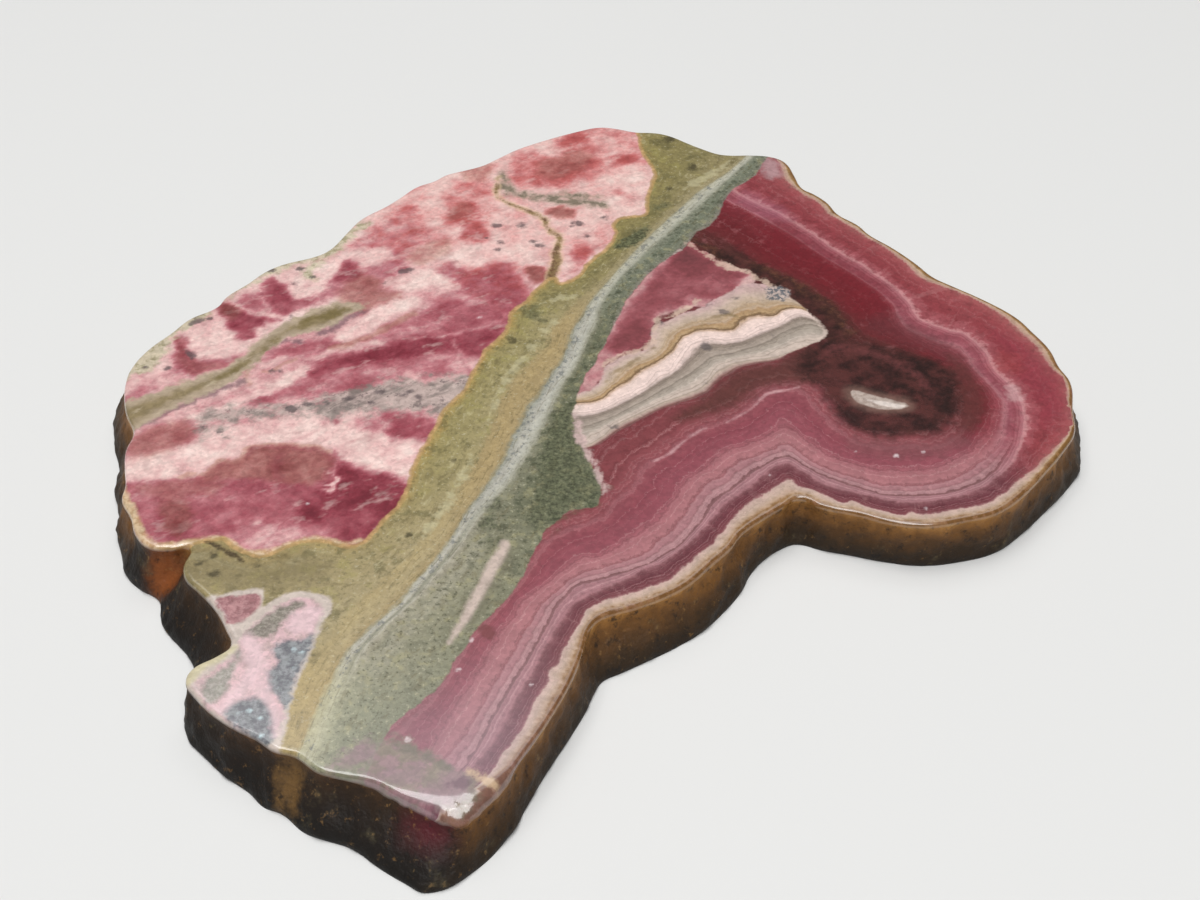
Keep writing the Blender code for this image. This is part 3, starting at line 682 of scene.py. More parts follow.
stripe_start = [
    (18.2, 53.6), (15, 48.3), (12.8, 45.6), (10.8, 43.3), (9.2, 40.8), (7.5, 38.3), (5.8, 35.6), (4.4, 33.3),
    (3, 30.8), (1, 27), (-1, 22.9), (-1.6, 20.9), (-2.4, 19), (-2.9, 17), (-3.3, 15.1), (-3.8, 13.2),
    (-4.7, 11.2), (-5.2, 9.6), (-6, 7.6), (-6.9, 5.7), (-7.4, 3.7), (-8.1, 2), (-8.7, -.8), (-9.5, -3),
    (-10.3, -4.9), (-10.9, -6.3), (-12, -8.6), (-13, -11.6), (-14, -14), (-14.9, -15.7), (-16, -17.6),
    (-16.8, -19.5), (-18.2, -21.5), (-19.6, -23.4), (-20.7, -25.1), (-21.3, -26.8), (-21.8, -28.7),
    (-22.4, -30.7), (-22.9, -32.9), (-23.4, -35.4), (-23.8, -36.5), (-25, -41),
]
stripe_end = [
    (19.8, 54), (16.5, 49.3), (13.3, 44.4), (11.7, 41.9), (10, 39.4), (8.3, 36.9), (6.7, 34.4), (5, 32.1),
    (3.9, 30.1), (2.5, 27.9), (1.4, 25.7), (.6, 23.7), (0, 21.8), (-.2, 19.5), (-.9, 17.3), (-1.5, 15.1),
    (-2, 13.2), (-2.7, 11.2), (-3.5, 9.6), (-4.1, 7.3), (-4.7, 4.8), (-5.6, 2), (-6.4, -.5), (-7.3, -2.4),
    (-8.1, -4.7), (-9.2, -6.6), (-10.3, -8.6), (-11.4, -11), (-12.4, -13.4), (-13.2, -15), (-14.3, -16.9),
    (-15.2, -18.8), (-16.6, -20.7), (-17.9, -22.6), (-19, -24.4), (-19.7, -26.2), (-20.2, -28.2),
    (-20.8, -30.2), (-21.3, -32.5), (-21.8, -35), (-22.2, -36.5), (-23.4, -41),
]
right_contact = [
    (22, 56), (18.75, 50), (18, 48.2), (17.5, 47), (16.5, 45.7), (15.2, 44.5), (14.2, 43), (13.5, 41.5),
    (13.2, 40), (12.5, 38), (11.4, 36.4), (10.3, 35.6), (9.4, 33.6), (8.6, 32.2), (7.5, 31.1), (6.2, 29.6),
    (5.2, 28.2), (4.2, 26.2), (3.4, 24.6), (2.6, 22.9), (2, 20.9), (1.4, 19.3), (.9, 17.3), (.5, 15.9),
    (0, 14.6), (-.5, 12.9), (-1.3, 11.2), (-1.75, 9.6), (-2.2, 8.2), (-2.4, 6.2), (-2.6, 5.1), (-2, 3.4),
    (-1.6, 1.2), (-1.3, -.5), (-.75, -1.9), (-.3, -3.5), (.1, -5.2), (0, -6.6), (-.3, -7.6), (-1.4, -8),
    (-2.8, -8.4), (-3.5, -9.1), (-4.2, -10.2), (-4.9, -11), (-5.3, -12.4), (-5.9, -13.8), (-6.4, -15.8),
    (-7, -17.4), (-7.8, -19.1), (-8.9, -20.8), (-10, -22.4), (-10.6, -23.4), (-11.3, -25.1), (-12, -26.5),
    (-12.4, -27.9), (-13.2, -29.5), (-14.3, -30.7), (-15.4, -32), (-16.5, -33.4), (-17.1, -34.9),
    (-17.8, -37), (-19, -42),
]
right_side = [(-60, -60), (60, -60), (60, 60)]
crossing = [side_of(line, right_side)
            for line in (left_contact, caramel_side, stripe_start, stripe_end, right_contact)]
mark("into_vein", crossing[0])
mark("past_vein", crossing[4])
mark("crossing", levels(crossing))
mark("along", 0.44 * x + 0.9 * y)

across = marked("crossing")
run = marked("along")
flow = node("ShaderNodeCombineXYZ", X=times(across, 2.2), Y=times(run, 0.16), Z=0.0).outputs[0]
flow_grain = node("ShaderNodeTexNoise", Vector=flow, Scale=3.0, Detail=5.0, Roughness=0.62,
                  Distortion=0.4).outputs["Fac"]
mottle = grain(0.8, 4.0, 0.7)
speckle = grain(0.42, 3.0, 0.7)
patchy = grain(2.2, 4.0, 0.62)
coarse = grain(1.3, 3.0, 0.66)
strayed = sum_of(across, times(sum_of(flow_grain, -0.5), 0.32))
strayed = sum_of(strayed, times(sum_of(mottle, -0.5), 0.34))
far_vein = ramp(strayed, 4.0, [
    (0.00, (164, 140, 86)), (0.08, (142, 130, 82)), (0.50, (134, 124, 82)), (0.88, (144, 132, 94)),
    (1.00, (154, 142, 106)), (1.75, (158, 147, 113)), (1.96, (160, 154, 130)), (2.10, (178, 174, 154)),
    (2.55, (184, 182, 166)), (2.90, (162, 162, 146)), (3.06, (134, 136, 118)), (3.40, (114, 119, 101)),
    (3.80, (118, 120, 103)), (4.00, (132, 124, 114)),
])
middle_vein = ramp(strayed, 4.0, [
    (0.00, (178, 148, 90)), (0.09, (162, 142, 88)), (0.20, (150, 138, 92)), (0.55, (154, 143, 100)),
    (0.88, (158, 146, 106)), (1.00, (166, 147, 106)), (1.30, (170, 149, 106)), (1.80, (168, 148, 108)),
    (1.96, (148, 140, 114)), (2.06, (156, 156, 144)), (2.30, (178, 175, 164)), (2.60, (184, 182, 170)),
    (2.84, (164, 162, 146)), (3.02, (128, 127, 106)), (3.30, (106, 108, 86)), (4.00, (112, 113, 92)),
])
near_vein = ramp(strayed, 4.0, [
    (0.00, (166, 146, 98)), (0.16, (156, 142, 102)), (0.90, (164, 150, 114)), (1.02, (170, 153, 112)),
    (1.50, (172, 156, 118)), (1.84, (162, 144, 106)), (1.96, (156, 148, 122)), (2.05, (172, 168, 152)),
    (2.24, (184, 180, 168)), (2.42, (168, 164, 148)), (2.56, (140, 138, 122)), (2.68, (150, 148, 130)),
    (2.84, (176, 171, 156)), (2.98, (166, 160, 142)), (3.10, (146, 142, 120)), (3.22, (156, 152, 132)),
    (3.38, (140, 137, 114)), (4.00, (128, 127, 104)),
])
end_vein = ramp(strayed, 4.0, [
    (0.00, (168, 148, 98)), (1.00, (172, 152, 106)), (1.84, (168, 148, 104)), (2.05, (174, 168, 136)),
    (2.60, (178, 174, 146)), (2.96, (158, 156, 130)), (3.30, (138, 138, 114)), (4.00, (126, 126, 104)),
])
near_vein = laid(end_vein, near_vein, between(run, -38.0, -30.0))
vein = laid(near_vein, middle_vein, between(run, -20.0, -6.0))
vein = laid(vein, far_vein, between(run, 14.0, 26.0))
# Olive and yellow-green patches, streaks along the band, and sandy dark and light grains.
in_khaki = between(strayed, 1.0, 0.85)
beyond_stripe = between(strayed, 2.9, 3.1)
in_stripe = times(between(strayed, 1.95, 2.05), between(strayed, 2.7, 2.5))
vein = laid(vein, colour(150, 142, 84), times(times(between(patchy, 0.52, 0.66), in_khaki), 0.42))
vein = laid(vein, colour(106, 100, 64), times(times(between(patchy, 0.46, 0.34), in_khaki), 0.55))
vein = laid(vein, colour(196, 186, 146), times(times(between(flow_grain, 0.56, 0.70), in_khaki), 0.50))
vein = laid(vein, colour(98, 88, 56), times(between(flow_grain, 0.48, 0.32), 0.42))
vein = laid(vein, colour(160, 154, 116), times(times(between(coarse, 0.53, 0.66), beyond_stripe), 0.42))
vein = laid(vein, colour(58, 64, 48), times(times(between(coarse, 0.47, 0.34), beyond_stripe),
                                                      between(run, -26.0, -8.0, 0.24, 0.56)))
vein = laid(vein, colour(66, 66, 46), times(between(speckle, 0.45, 0.34), sum_of(0.30, times(beyond_stripe, 0.30))))
vein = laid(vein, colour(208, 202, 176), times(between(speckle, 0.58, 0.70), 0.34))
vein = laid(vein, colour(92, 98, 102), times(times(between(grain(0.6, 3.0, 0.7), 0.53, 0.64), in_stripe), 0.55))
# Painted reflection: a greyish mauve veil over the stone, growing towards the sawn end, stands for the sheen of the
# polish there.
stone_now = laid(stone_now, colour(128, 100, 118), between(run, -22.0, -42.0, 0.0, 0.30))
stone_now = laid(stone_now, vein, between(sum_of(marked("past_vein"), times(wander, 0.7)), 0.12, -0.12))

# Things caught in the band: a dark green lens, darker grit, pale streaks and a pink sliver.
grit = laid(colour(60, 64, 46), colour(100, 104, 76), between(speckle, 0.40, 0.60))
stone_now = touch(stone_now, "green_lens", area([
    (1.5, 32.8), (2.3, 34), (3, 35.2), (4, 36.2), (5.2, 37), (5.0, 35.6), (4.6, 34.2), (3.9, 33.3), (2.6, 32.9)],
    4.0), grit, 0.88, 0.35, 2.4)
stone_now = touch(stone_now, "dark_grit", np.minimum.reduce([
    area([(-2.4, 6), (-4, 6), (-5, 2.4), (-5.4, -1), (-5.8, -5), (-6.6, -8.6), (-5.4, -11.4), (-4.4, -10.4),
          (-3, -8.8), (-1, -7.6), (.2, -6), (-.3, -3.6), (-1.6, .4), (-2.2, 3.2)], 4.0),
    streak(1.0, [(-9.4, -6.6, .3), (-10, -9, .9), (-10, -11, .8), (-9.6, -12.6, .3)], 4.0),
    streak(1.2, [(-8.6, 22.4, .6), (-7, 21.4, 1.6), (-5.6, 19.8, .6)], 4.0),
    streak(.9, [(4.8, 40, .3), (6.6, 40.4, .9), (8, 41.6, .3)], 4.0),
]), grit, 0.60, 0.8, 4.0)
stone_now = touch(stone_now, "pale_streaks", np.minimum.reduce([
    streak(.45, [(-4.4, 20.2, .1), (-5.5, 18.4), (-6.4, 16.2), (-7.9, 13.2, .6), (-9, 11), (-10, 7), (-10.6, 4, .1)], 4.0),
    streak(.4, [(-12, -1, .1), (-12.6, -4), (-14, -8, .6), (-15.6, -11.4, .1)], 4.0),
    streak(.4, [(-5.4, 23, .2), (-4, 23.8, .6), (-2.4, 24.2, .2)], 4.0),
    streak(.8, [(9.6, 44.2, .3), (11, 45.6, 1.2), (13, 47.8, 1.0), (14.6, 49.6, .4)], 4.0),
]), colour(190, 182, 146), 0.60, 0.35, 3.4)
stone_now = touch(stone_now, "pink_sliver", streak(.9, [(-8.3, -12.6, .9), (-9.2, -15.2, 1.2), (-10.1, -18, 1.0),
                  (-11.1, -20.8, .9), (-12, -23.2, .6), (-12.6, -24.6, .1)], 4.0), colour(202, 182, 172), 0.88, 0.3, 0.8)
stone_now = touch(stone_now, "sliver_shade", streak(.6, [(-7.5, -12.6, .3), (-8.3, -15.2, .7), (-9.2, -18, .8),
                  (-10.2, -21, .6), (-11.2, -23.4, .2)], 4.0), colour(112, 108, 88), 0.55, 0.4, 2.0)
stone_now = touch(stone_now, "pale_contact", np.minimum.reduce([
    streak(.6, [(-2.5, 5.4, .4), (-1.9, 2.4, 1.0), (-1.2, -.2, .7), (-.3, -2.8, .5), (.3, -4.8, .4),
                (.5, -6.8, .15)], 4.0),
    streak(.5, [(-1.3, 9.6, .2), (.2, 13.4, .5), (1.2, 16.6, .6), (2.2, 20, .6), (3.4, 23.2, .5), (5, 26.8, .4),
                (6.6, 29.4, .3), (8.4, 32.2, .1)], 4.0),
]), colour(206, 178, 174), 0.8, 0.28, 1.8)
stone_now = touch(stone_now, "tongue_shade", area([
    (-26, -13.4), (-29, -14.6), (-32, -14.2), (-34, -12.6), (-37, -13), (-37, -17), (-33, -18), (-28, -18),
    (-24.6, -17.4), (-23.6, -15.4)]), colour(116, 104, 76), 0.50, 1.6, 3.0)
for number, (sx, sy, size) in enumerate([(-8.7, 16.7, .5), (-6.4, 16.6, .3), (-6.5, 7.9, .25), (-19.2, -28.4, .25),
                                         (8, 54.2, .6), (10.2, 48.2, .6), (7.6, 44, .3), (-33.3, -16.3, .4),
                                         (-34.9, -15, .2), (-33.6, -14, .25), (-30, -15.3, .25),
                                         (-16.8, -11.4, .25), (-13.4, -1.4, .2)]):
    dot = np.hypot(x - sx, y - sy) - size
    vein_dots = dot if number == 0 else np.minimum(vein_dots, dot)
stone_now = touch(stone_now, "vein_dots", np.minimum(vein_dots, REACH), colour(62, 56, 38), 0.75, 0.3, 2.4)

# The layers end raggedly in grey-green and mauve stone at the sawn edge.
stone_now = touch(stone_now, "end_grey", area([
    (-21.5, -38), (-19, -35.4), (-16.4, -34.6), (-14, -36), (-12, -37.2), (-10.6, -38.2), (-9.4, -39.4),
    (-10.6, -41.6), (-15, -41), (-18, -39.6)], 4.0), laid(colour(126, 123, 104), colour(140, 118, 118), between(patchy, 0.44, 0.58)),
    0.76, 0.6, 3.0)
stone_now = touch(stone_now, "end_mauve", np.minimum.reduce([
    area([(-20.4, -37.4), (-19.2, -35.2), (-17.9, -35.4), (-18.2, -37.2)], 4.0),
    area([(-17, -38.6), (-15.6, -37.6), (-13.8, -37.2), (-13.6, -38.4), (-15, -39.6)], 4.0),
    area([(-13.8, -40.6), (-12.6, -38.6), (-10.6, -38.8), (-10, -40), (-11.6, -41.4)], 4.0),
]), colour(138, 110, 116), 0.65, 0.5, 2.6)
stone_now = touch(stone_now, "end_line", streak(.5, [(-16.8, -34.6, .3), (-15.2, -35.9, .6), (-13.4, -36.9, .7),
                  (-11.6, -37.8, .3)], 4.0), colour(96, 92, 80), 0.55, 0.45, 2.4)
stone_now = touch(stone_now, "end_purple", area([(-11.9, -39.3), (-10.8, -38.8), (-9.9, -39.1), (-10.2, -39.8),
                  (-11.4, -40)], 4.0), colour(94, 62, 76), 0.7, 0.25, 1.6)
stone_now = touch(stone_now, "end_cream", streak(.7, [(-10.3, -38, .3), (-9.2, -38.8, .8), (-8.2, -39.5, .4)], 4.0),
                  colour(200, 172, 140), 0.8, 0.25, 1.4)
stone_now = touch(stone_now, "brown_red", area([(-10.2, -22.8), (-9.4, -24.2), (-8.6, -23.8), (-8.8, -22.6),
                  (-9.4, -22.2)], 4.0), colour(112, 56, 56), 0.75, 0.3, 1.6)


# The left-hand side is broken and healed: rose and raspberry stone in clouds and beds, set in pale pink and
# cream carbonate, with streaks of olive and grey clay between the beds.
true_x, true_y = x, y
noise.seed_set(3)
stray = np.array([noise.noise_vector(Vector((a, b, 0.0)) * 0.9) * 0.46
                  + noise.noise_vector(Vector((a, b, 7.0)) * 2.6) * 0.22 for a, b in zip(x, y)])
x = true_x + stray[:, 0]
y = true_y + stray[:, 1]


def brushed(field, amount, soft, away):
    """Brush an amount over a field where a point lies inside the stroke, fading over its edge."""
    share = np.clip((soft - away) / (2.0 * soft), 0.0, 1.0)
    field += (amount - field) * share * share * (3.0 - 2.0 * share)


# How deep the rose is: nothing is cream white, and 1 is raspberry. Each row is an amount, the softness of
# the edge, and an outline.
rose_clouds = [
    (.34, 2.0, [(-47, 3), (-44, 12), (-38, 14), (-33, 14), (-27, 20), (-23, 26), (-16, 27), (-8, 26), (-6, 22),
                (-14, 10), (-26, 5), (-36, 4), (-44, -1)]),
    (.38, 1.2, [(-1.5, 57), (1, 57.6), (4.6, 56.4), (4.8, 52), (5.2, 49), (4, 47.5), (1, 47), (-.5, 50), (-1.5, 53)]),
    (.66, .5, [(-5, 53.4), (-3.8, 55.2), (-1.4, 56.6), (-1.4, 54), (-3.6, 52.4)]),
    (.50, .6, [(-10, 48), (-9.4, 51), (-7.5, 51.3), (-5, 51), (-2.5, 52.8), (-.6, 53), (.2, 50.5), (.2, 47.5),
               (-1.5, 45.8), (-4, 44.6), (-7, 44.2), (-9, 44.6), (-9.8, 46)]),
    (.70, 1.0, [(-7, 47), (-6.8, 49.6), (-4.8, 50.4), (-3.4, 52), (-1.4, 51.8), (-.6, 50), (-.8, 48.4),
                (-2.6, 47.4), (-4.4, 46), (-6.4, 46.2)]),
    (.86, .9, [(-4.8, 47.8), (-4.2, 49.2), (-2.8, 49.2), (-2.6, 47.8), (-3.8, 47)]),
    (.82, .6, [(-1.9, 48.8), (-1.4, 49.9), (-.5, 49.8), (-.6, 48.8)]),
    (.84, .5, [(1.8, 49.4), (2.2, 50.8), (3.8, 51.4), (4.2, 50.2), (3, 49.2)]),
    (.10, 1.0, [(.8, 38.6), (4.8, 38.8), (5.2, 43), (5.9, 46.8), (4.4, 48.2), (1.4, 46.8), (.4, 43)]),
    (.40, .4, [(1.6, 43), (2.1, 44), (2.8, 43.4), (2.4, 42.4)]),
    (.76, .35, [(-6, 39.6), (-4.6, 40.6), (-3.8, 40.4), (-2.6, 39.4), (-3.4, 38.2), (-5.4, 38.6)]),
    (.40, .5, [(-3, 30.4), (-1.8, 30), (-2.2, 28.2), (-3, 28)]),
    (.70, .5, [(-3, 31.6), (-2.6, 33), (-1.2, 33.2), (-.8, 31.6), (-1.6, 30.3), (-2.8, 30.4)]),
    (.76, .3, [(-8, 29.2), (-6.4, 29.3), (-5, 28.4), (-5.6, 26.6), (-6.8, 26.2), (-7.4, 27.6)]),
    (.68, .5, [(-16.6, 40.4), (-15.6, 41.4), (-14, 41.6), (-13, 40.4), (-12.8, 38.4), (-12.2, 36), (-12, 34),
               (-13.2, 33.2), (-14.6, 34.4), (-15, 36.6), (-16.4, 36.8), (-17, 38.4)]),
    (.80, .7, [(-16, 40), (-14.5, 41), (-14.4, 39.4), (-16, 38.4)]),
    (.52, .6, [(-16.2, 45.4), (-14.6, 45.6), (-12.6, 44.8), (-11.8, 43), (-12.6, 42.2), (-14, 42), (-16, 41.4),
               (-18, 41.9), (-19.4, 42.4), (-18, 42.9), (-16.2, 43)]),
    (.36, .5, [(-15.6, 48.6), (-12.4, 49), (-12.3, 46.4), (-13, 45.2), (-15.2, 46)]),
    (.44, 1.0, [(-25, 33.4), (-24.6, 36), (-22, 38), (-19, 38), (-17.6, 35.6), (-18.6, 33), (-21, 32.6)]),
    (.58, .5, [(-22.8, 38.4), (-22, 40.4), (-20.4, 40.4), (-19.6, 38.8), (-20.6, 37.4), (-22.2, 37.2)]),
    (.70, .6, [(-20.9, 35.2), (-20.4, 36.6), (-19.4, 36.6), (-19.2, 35.2), (-20, 34.6)]),
    (.70, .4, [(-22.7, 34.2), (-22.2, 35), (-21.7, 34.6), (-22, 34)]),
    (.54, .5, [(-26.2, 33), (-25, 34.6), (-23, 34), (-22, 33), (-23.8, 32.4)]),
    (.60, .6, [(-22.4, 32), (-21, 33.8), (-19.6, 33), (-19.8, 30), (-21, 28), (-23.4, 27.6), (-25, 28.2),
               (-23.6, 29.6), (-22, 30.6)]),
    (.14, .5, [(-26, 31), (-25, 32.6), (-23, 32.4), (-22.4, 31), (-23.6, 29.8), (-25.2, 29.9)]),
    (.82, .45, [(-28, 26.6), (-27.4, 29), (-26.4, 30), (-25.2, 29), (-24.6, 27.4), (-25, 26)]),
    (.36, .8, [(-20.4, 31), (-18.4, 33.6), (-16.6, 34.6), (-15.6, 33), (-17, 30.6), (-19, 29.4)]),
    (.08, 1.0, [(-16.4, 30.6), (-16, 33), (-13, 33), (-10.6, 34), (-8, 33.6), (-8.4, 30.8), (-11, 30.6),
                (-13, 29.4)]),
    (.70, .6, [(-17.5, 28.2), (-15.5, 30), (-14.4, 29), (-12.4, 28.6), (-10.8, 30.2), (-9, 30.2), (-8.6, 28.4),
               (-7.6, 26), (-7.2, 24), (-9, 22), (-13, 24), (-15.2, 25.4), (-16.4, 26.8)]),
    (.84, .7, [(-13, 27.8), (-11.2, 28.4), (-9.8, 27.4), (-8.8, 25.4), (-10.6, 25.2), (-12.2, 26.2)]),
    (.06, .4, [(-20.8, 27.8), (-18.6, 28.6), (-17, 28.2), (-16, 27.4), (-14.6, 26), (-15.4, 25), (-17, 26.4),
               (-19, 25.2), (-21, 25.4), (-23, 25.6), (-22, 27.2)]),
    (.60, .6, [(-26.6, 26), (-25, 27.8), (-22.6, 27), (-22.4, 25.4), (-20.8, 24.9), (-20.6, 24), (-22.6, 22.8),
               (-24.4, 21.4), (-26, 22.8)]),
    (.88, .3, [(-42.3, 17.2), (-41.3, 16.8), (-40.8, 15.2), (-40.2, 14), (-39, 13.5), (-37.4, 13.3),
               (-36.6, 12.7), (-38.2, 12.1), (-39.6, 11.2), (-41, 12), (-41.8, 13.4), (-42, 15)]),
    (.62, .5, [(-39, 13.2), (-37, 13.4), (-35, 14.6), (-34.6, 13.6), (-36.4, 12.5), (-38.4, 12)]),
    (.06, .5, [(-40.6, 17.4), (-39.8, 15.8), (-39.9, 14.2), (-38.8, 13.8), (-37, 14.6), (-36, 15.6), (-37.2, 17.4),
               (-38, 19.2), (-38.4, 19.8), (-39.4, 18.6)]),
    (.82, .3, [(-39, 22.8), (-37.6, 22.8), (-35.4, 21), (-33.6, 20.4), (-32.4, 20), (-33.2, 19.4), (-34.4, 18.4),
               (-34.6, 17), (-36, 16.8), (-36.8, 18), (-37.8, 19.8), (-38.6, 21.4)]),
    (.24, .3, [(-34, 19.2), (-33.5, 19.8), (-33.1, 19.3), (-33.6, 18.8)]),
    (.62, .35, [(-37.2, 23), (-36, 24.4), (-34.6, 24.6), (-34.2, 23), (-34.6, 21.8), (-35.8, 21.8)]),
    (.74, .35, [(-35, 26.2), (-34, 27.1), (-32.8, 26.2), (-32, 24.6), (-31.6, 23.4), (-29.8, 23.4), (-31, 21.9),
                (-32, 20.7), (-33.4, 21.6), (-34, 23.2), (-34.4, 24.6)]),
    (.84, .5, [(-34.8, 26.2), (-34, 26.9), (-33, 26), (-32.6, 25), (-33.8, 24.6)]),
    (.64, .5, [(-31.6, 23), (-29.8, 23.6), (-28.6, 25), (-27.8, 26.6), (-26.4, 25.6), (-26.8, 24), (-28.6, 23),
               (-30, 22.2)]),
    (.03, .35, [(-34.4, 28), (-32, 29.2), (-29.6, 30), (-27.6, 31), (-27.3, 29.4), (-27.8, 27.4), (-28.8, 26),
                (-29.4, 24.6), (-30.6, 23.8), (-31.6, 24.2), (-32.2, 26), (-32.9, 27.4)]),
    (.06, .28, [(-26.6, 16.6), (-25.4, 16.8), (-24, 17.6), (-22, 19.2), (-20.4, 21), (-18.6, 22.6), (-18.4, 23.4),
                (-19.6, 24.2), (-21.4, 23), (-23, 21.6), (-24.8, 19.6), (-26, 18)]),
    (.60, .5, [(-32.6, 15.4), (-30, 16.4), (-27, 16.6), (-26, 15.6), (-27.4, 14.6), (-30, 14.2), (-32.4, 13.6)]),
    (.66, .5, [(-26, 15.7), (-24, 16.8), (-22, 18), (-20, 19.9), (-18.6, 21), (-17, 22.4), (-14.8, 23.4), (-12, 22),
               (-12, 19), (-15, 18), (-19, 18.4), (-21, 17.4), (-23.4, 16.4)]),
    (.36, .4, [(-22.4, 17.2), (-20.4, 18.4), (-18.6, 18.8), (-18.4, 18.2), (-20, 17.6)]),
    (.90, .6, [(-28.6, 12), (-26.6, 13.6), (-24.4, 14.8), (-22, 15.6), (-20, 16.6), (-18, 17.4), (-15, 18.2),
               (-12, 18.4), (-9.4, 20), (-8.6, 22), (-8.4, 20), (-9.8, 17), (-12, 14), (-15, 14.6), (-18, 14),
               (-21, 12.8), (-25, 11.4), (-28, 10.7)]),
    (.66, .7, [(-13.6, 22), (-11, 22.8), (-8.6, 22), (-9.6, 19.6), (-12.4, 19.4), (-14.4, 20)]),
    (.56, .8, [(-31, 9.6), (-28, 11), (-24, 11.6), (-20, 12.8), (-17, 13.4), (-13, 13.6), (-13, 11.6), (-19, 10.6),
               (-23, 8.8), (-27, 7.6), (-30, 8)]),
    (.60, .6, [(-35, 7.2), (-33, 8), (-31, 9.2), (-29, 8.8), (-31, 7.2), (-34, 6.4)]),
    (.56, .5, [(-44.6, .2), (-43.4, 2.4), (-41.6, 3.6), (-40, 4.4), (-38.4, 4.4), (-37.6, 3), (-38.4, 1.6),
               (-39.4, .6), (-41, -.2), (-43, -1), (-44.6, -1.2)]),
    (.80, .5, [(-40.4, 1.8), (-39.8, 2.6), (-38.9, 2.2), (-38.8, 1.2), (-39.8, 1)]),
    (.05, .5, [(-43.6, -2), (-41, -1), (-39, 0), (-37, 1.2), (-35.6, .8), (-34.6, -.6), (-35.6, -2), (-36.4, -3.2),
               (-38, -3.5), (-40, -3.7), (-43.6, -4)]),
    (.10, .8, [(-36, 2), (-33, 3.8), (-30, 4.6), (-28, 4.6), (-26, 3.6), (-24.6, 1.4), (-26, .6), (-29, 1.2),
               (-32, .9), (-34, -.6)]),
    (.50, .5, [(-23.4, 4.2), (-21.2, 4.8), (-20.6, 3), (-21.4, 2.4), (-23, 3)]),
    (.74, .45, [(-20.6, 5.3), (-19, 5.5), (-17.6, 5), (-16, 4.8), (-15, 3), (-15.6, 1.4), (-17.6, 1.6), (-19.6, 1.6),
                (-20, 3.4)]),
    (.88, .5, [(-20.3, 4.9), (-19.4, 5.2), (-18.6, 3.6), (-19.6, 2.8)]),
    (.82, .25, [(-25.4, 4.3), (-25, 4.7), (-24.6, 4.3), (-25, 4)]),
    (.08, .5, [(-24, 1), (-21, .9), (-18, 1.2), (-17, .6), (-16.8, -1.5), (-17.4, -3.6), (-19.4, -3.6), (-21, -2.6),
               (-22.6, -2.2), (-23.8, -.6)]),
    (.34, .5, [(-17.8, .9), (-16.6, 1), (-16.2, -1), (-16.8, -2), (-17.4, -.6)]),
    (-.1, .25, [(-22.9, .9), (-22.3, 1.5), (-21.6, 1.2), (-21.6, .5), (-22.4, .3)]),
    (.76, .24, [(-46, -5), (-43, -4.6), (-40, -4.3), (-36.9, -4), (-35.7, -3.2), (-35.3, -2.1), (-34.3, -1.5),
                (-33.1, -1.4), (-32.6, 0), (-32.1, .6), (-30.6, .6), (-29.4, .9), (-27.8, .5), (-26.1, .2), (-25, -.6),
                (-24.4, -1.4), (-23.3, -1.8), (-22.8, -2.8), (-20.8, -3.2), (-19.4, -3.9), (-17.5, -4.6), (-14, -5),
                (-17, -8.4), (-19.6, -12.6), (-24, -13.6), (-28.9, -14.2), (-34.4, -13.1), (-40.3, -13.6),
                (-44, -8)]),
    (.60, .9, [(-43.2, -5), (-40, -4.8), (-37, -4.2), (-35, -5), (-37, -7), (-39, -8), (-41.4, -7.6), (-42.6, -6.6)]),
    (.66, .7, [(-36, -3), (-34.6, -1.8), (-32.8, -.9), (-31.6, .2), (-28, .2), (-25.6, -.6), (-24.6, -2), (-25.6, -4.4),
               (-28, -4.8), (-31, -4.4), (-34, -4.4), (-36, -4.6)]),
    (.42, .4, [(-32.2, -.7), (-31.6, -.3), (-31, -.8), (-31.6, -1.3)]),
    (.80, .8, [(-31.4, -1.4), (-29, -1), (-28.4, -3.4), (-30, -4)]),
    (.68, .8, [(-35, -5.8), (-33, -5.2), (-29, -5.2), (-26.4, -6.4), (-27, -9.4), (-30, -9.6), (-33, -9),
               (-35, -8)]),
    (.86, .6, [(-39.6, -7.4), (-37.8, -6.8), (-36.6, -8), (-36.4, -10.6), (-37.4, -11.9), (-38.8, -10.6)]),
    (.60, .4, [(-40.8, -7.6), (-40, -8), (-39.6, -11.4), (-40.4, -11.2)]),
    (.80, .8, [(-36, -10), (-33, -9.4), (-31.6, -9.4), (-33, -11.6), (-36, -12)]),
    (1.0, .6, [(-24.6, -2.2), (-23.2, -2.4), (-20.4, -3.2), (-18, -4.4), (-16.8, -6.4), (-18, -8.6), (-20, -11.4),
               (-21.5, -12.6), (-23.6, -11.6), (-24.4, -9.4), (-25.4, -6.4), (-24.6, -4.6)]),
    (1.12, 1.0, [(-23.4, -4.4), (-20.6, -3.8), (-18.4, -5), (-18.8, -8), (-21, -7.4), (-23, -6)]),
    (1.04, .4, [(-27, -7.2), (-25.6, -7.8), (-24.7, -9.4), (-25.2, -10), (-26.6, -9)]),
    (.86, .7, [(-23.8, -9), (-20.6, -9), (-21, -11.8), (-23.4, -11.4)]),
    (.40, .8, [(-33, -11.4), (-31.4, -9.9), (-28, -10), (-25, -10.8), (-24.2, -12), (-27, -12.2), (-28.8, -13.4),
               (-30.8, -13.8), (-32.6, -12.8)]),
    (.10, .3, [(-30.9, -9.7), (-30.4, -9.6), (-30.3, -10.1), (-30.8, -10.2)]),
    # The patch between the band and the wedge.
    (.34, .8, [(-4, 6), (0, 22), (4, 30), (9.4, 36), (17, 29), (17, 25), (9, 21), (5, 15), (0, 8)]),
    (.88, .35, [(1, 15.1), (1.4, 17.4), (2.2, 19.4), (2.8, 21.2), (3.4, 23), (4.4, 25), (5.2, 26.6), (5.8, 28),
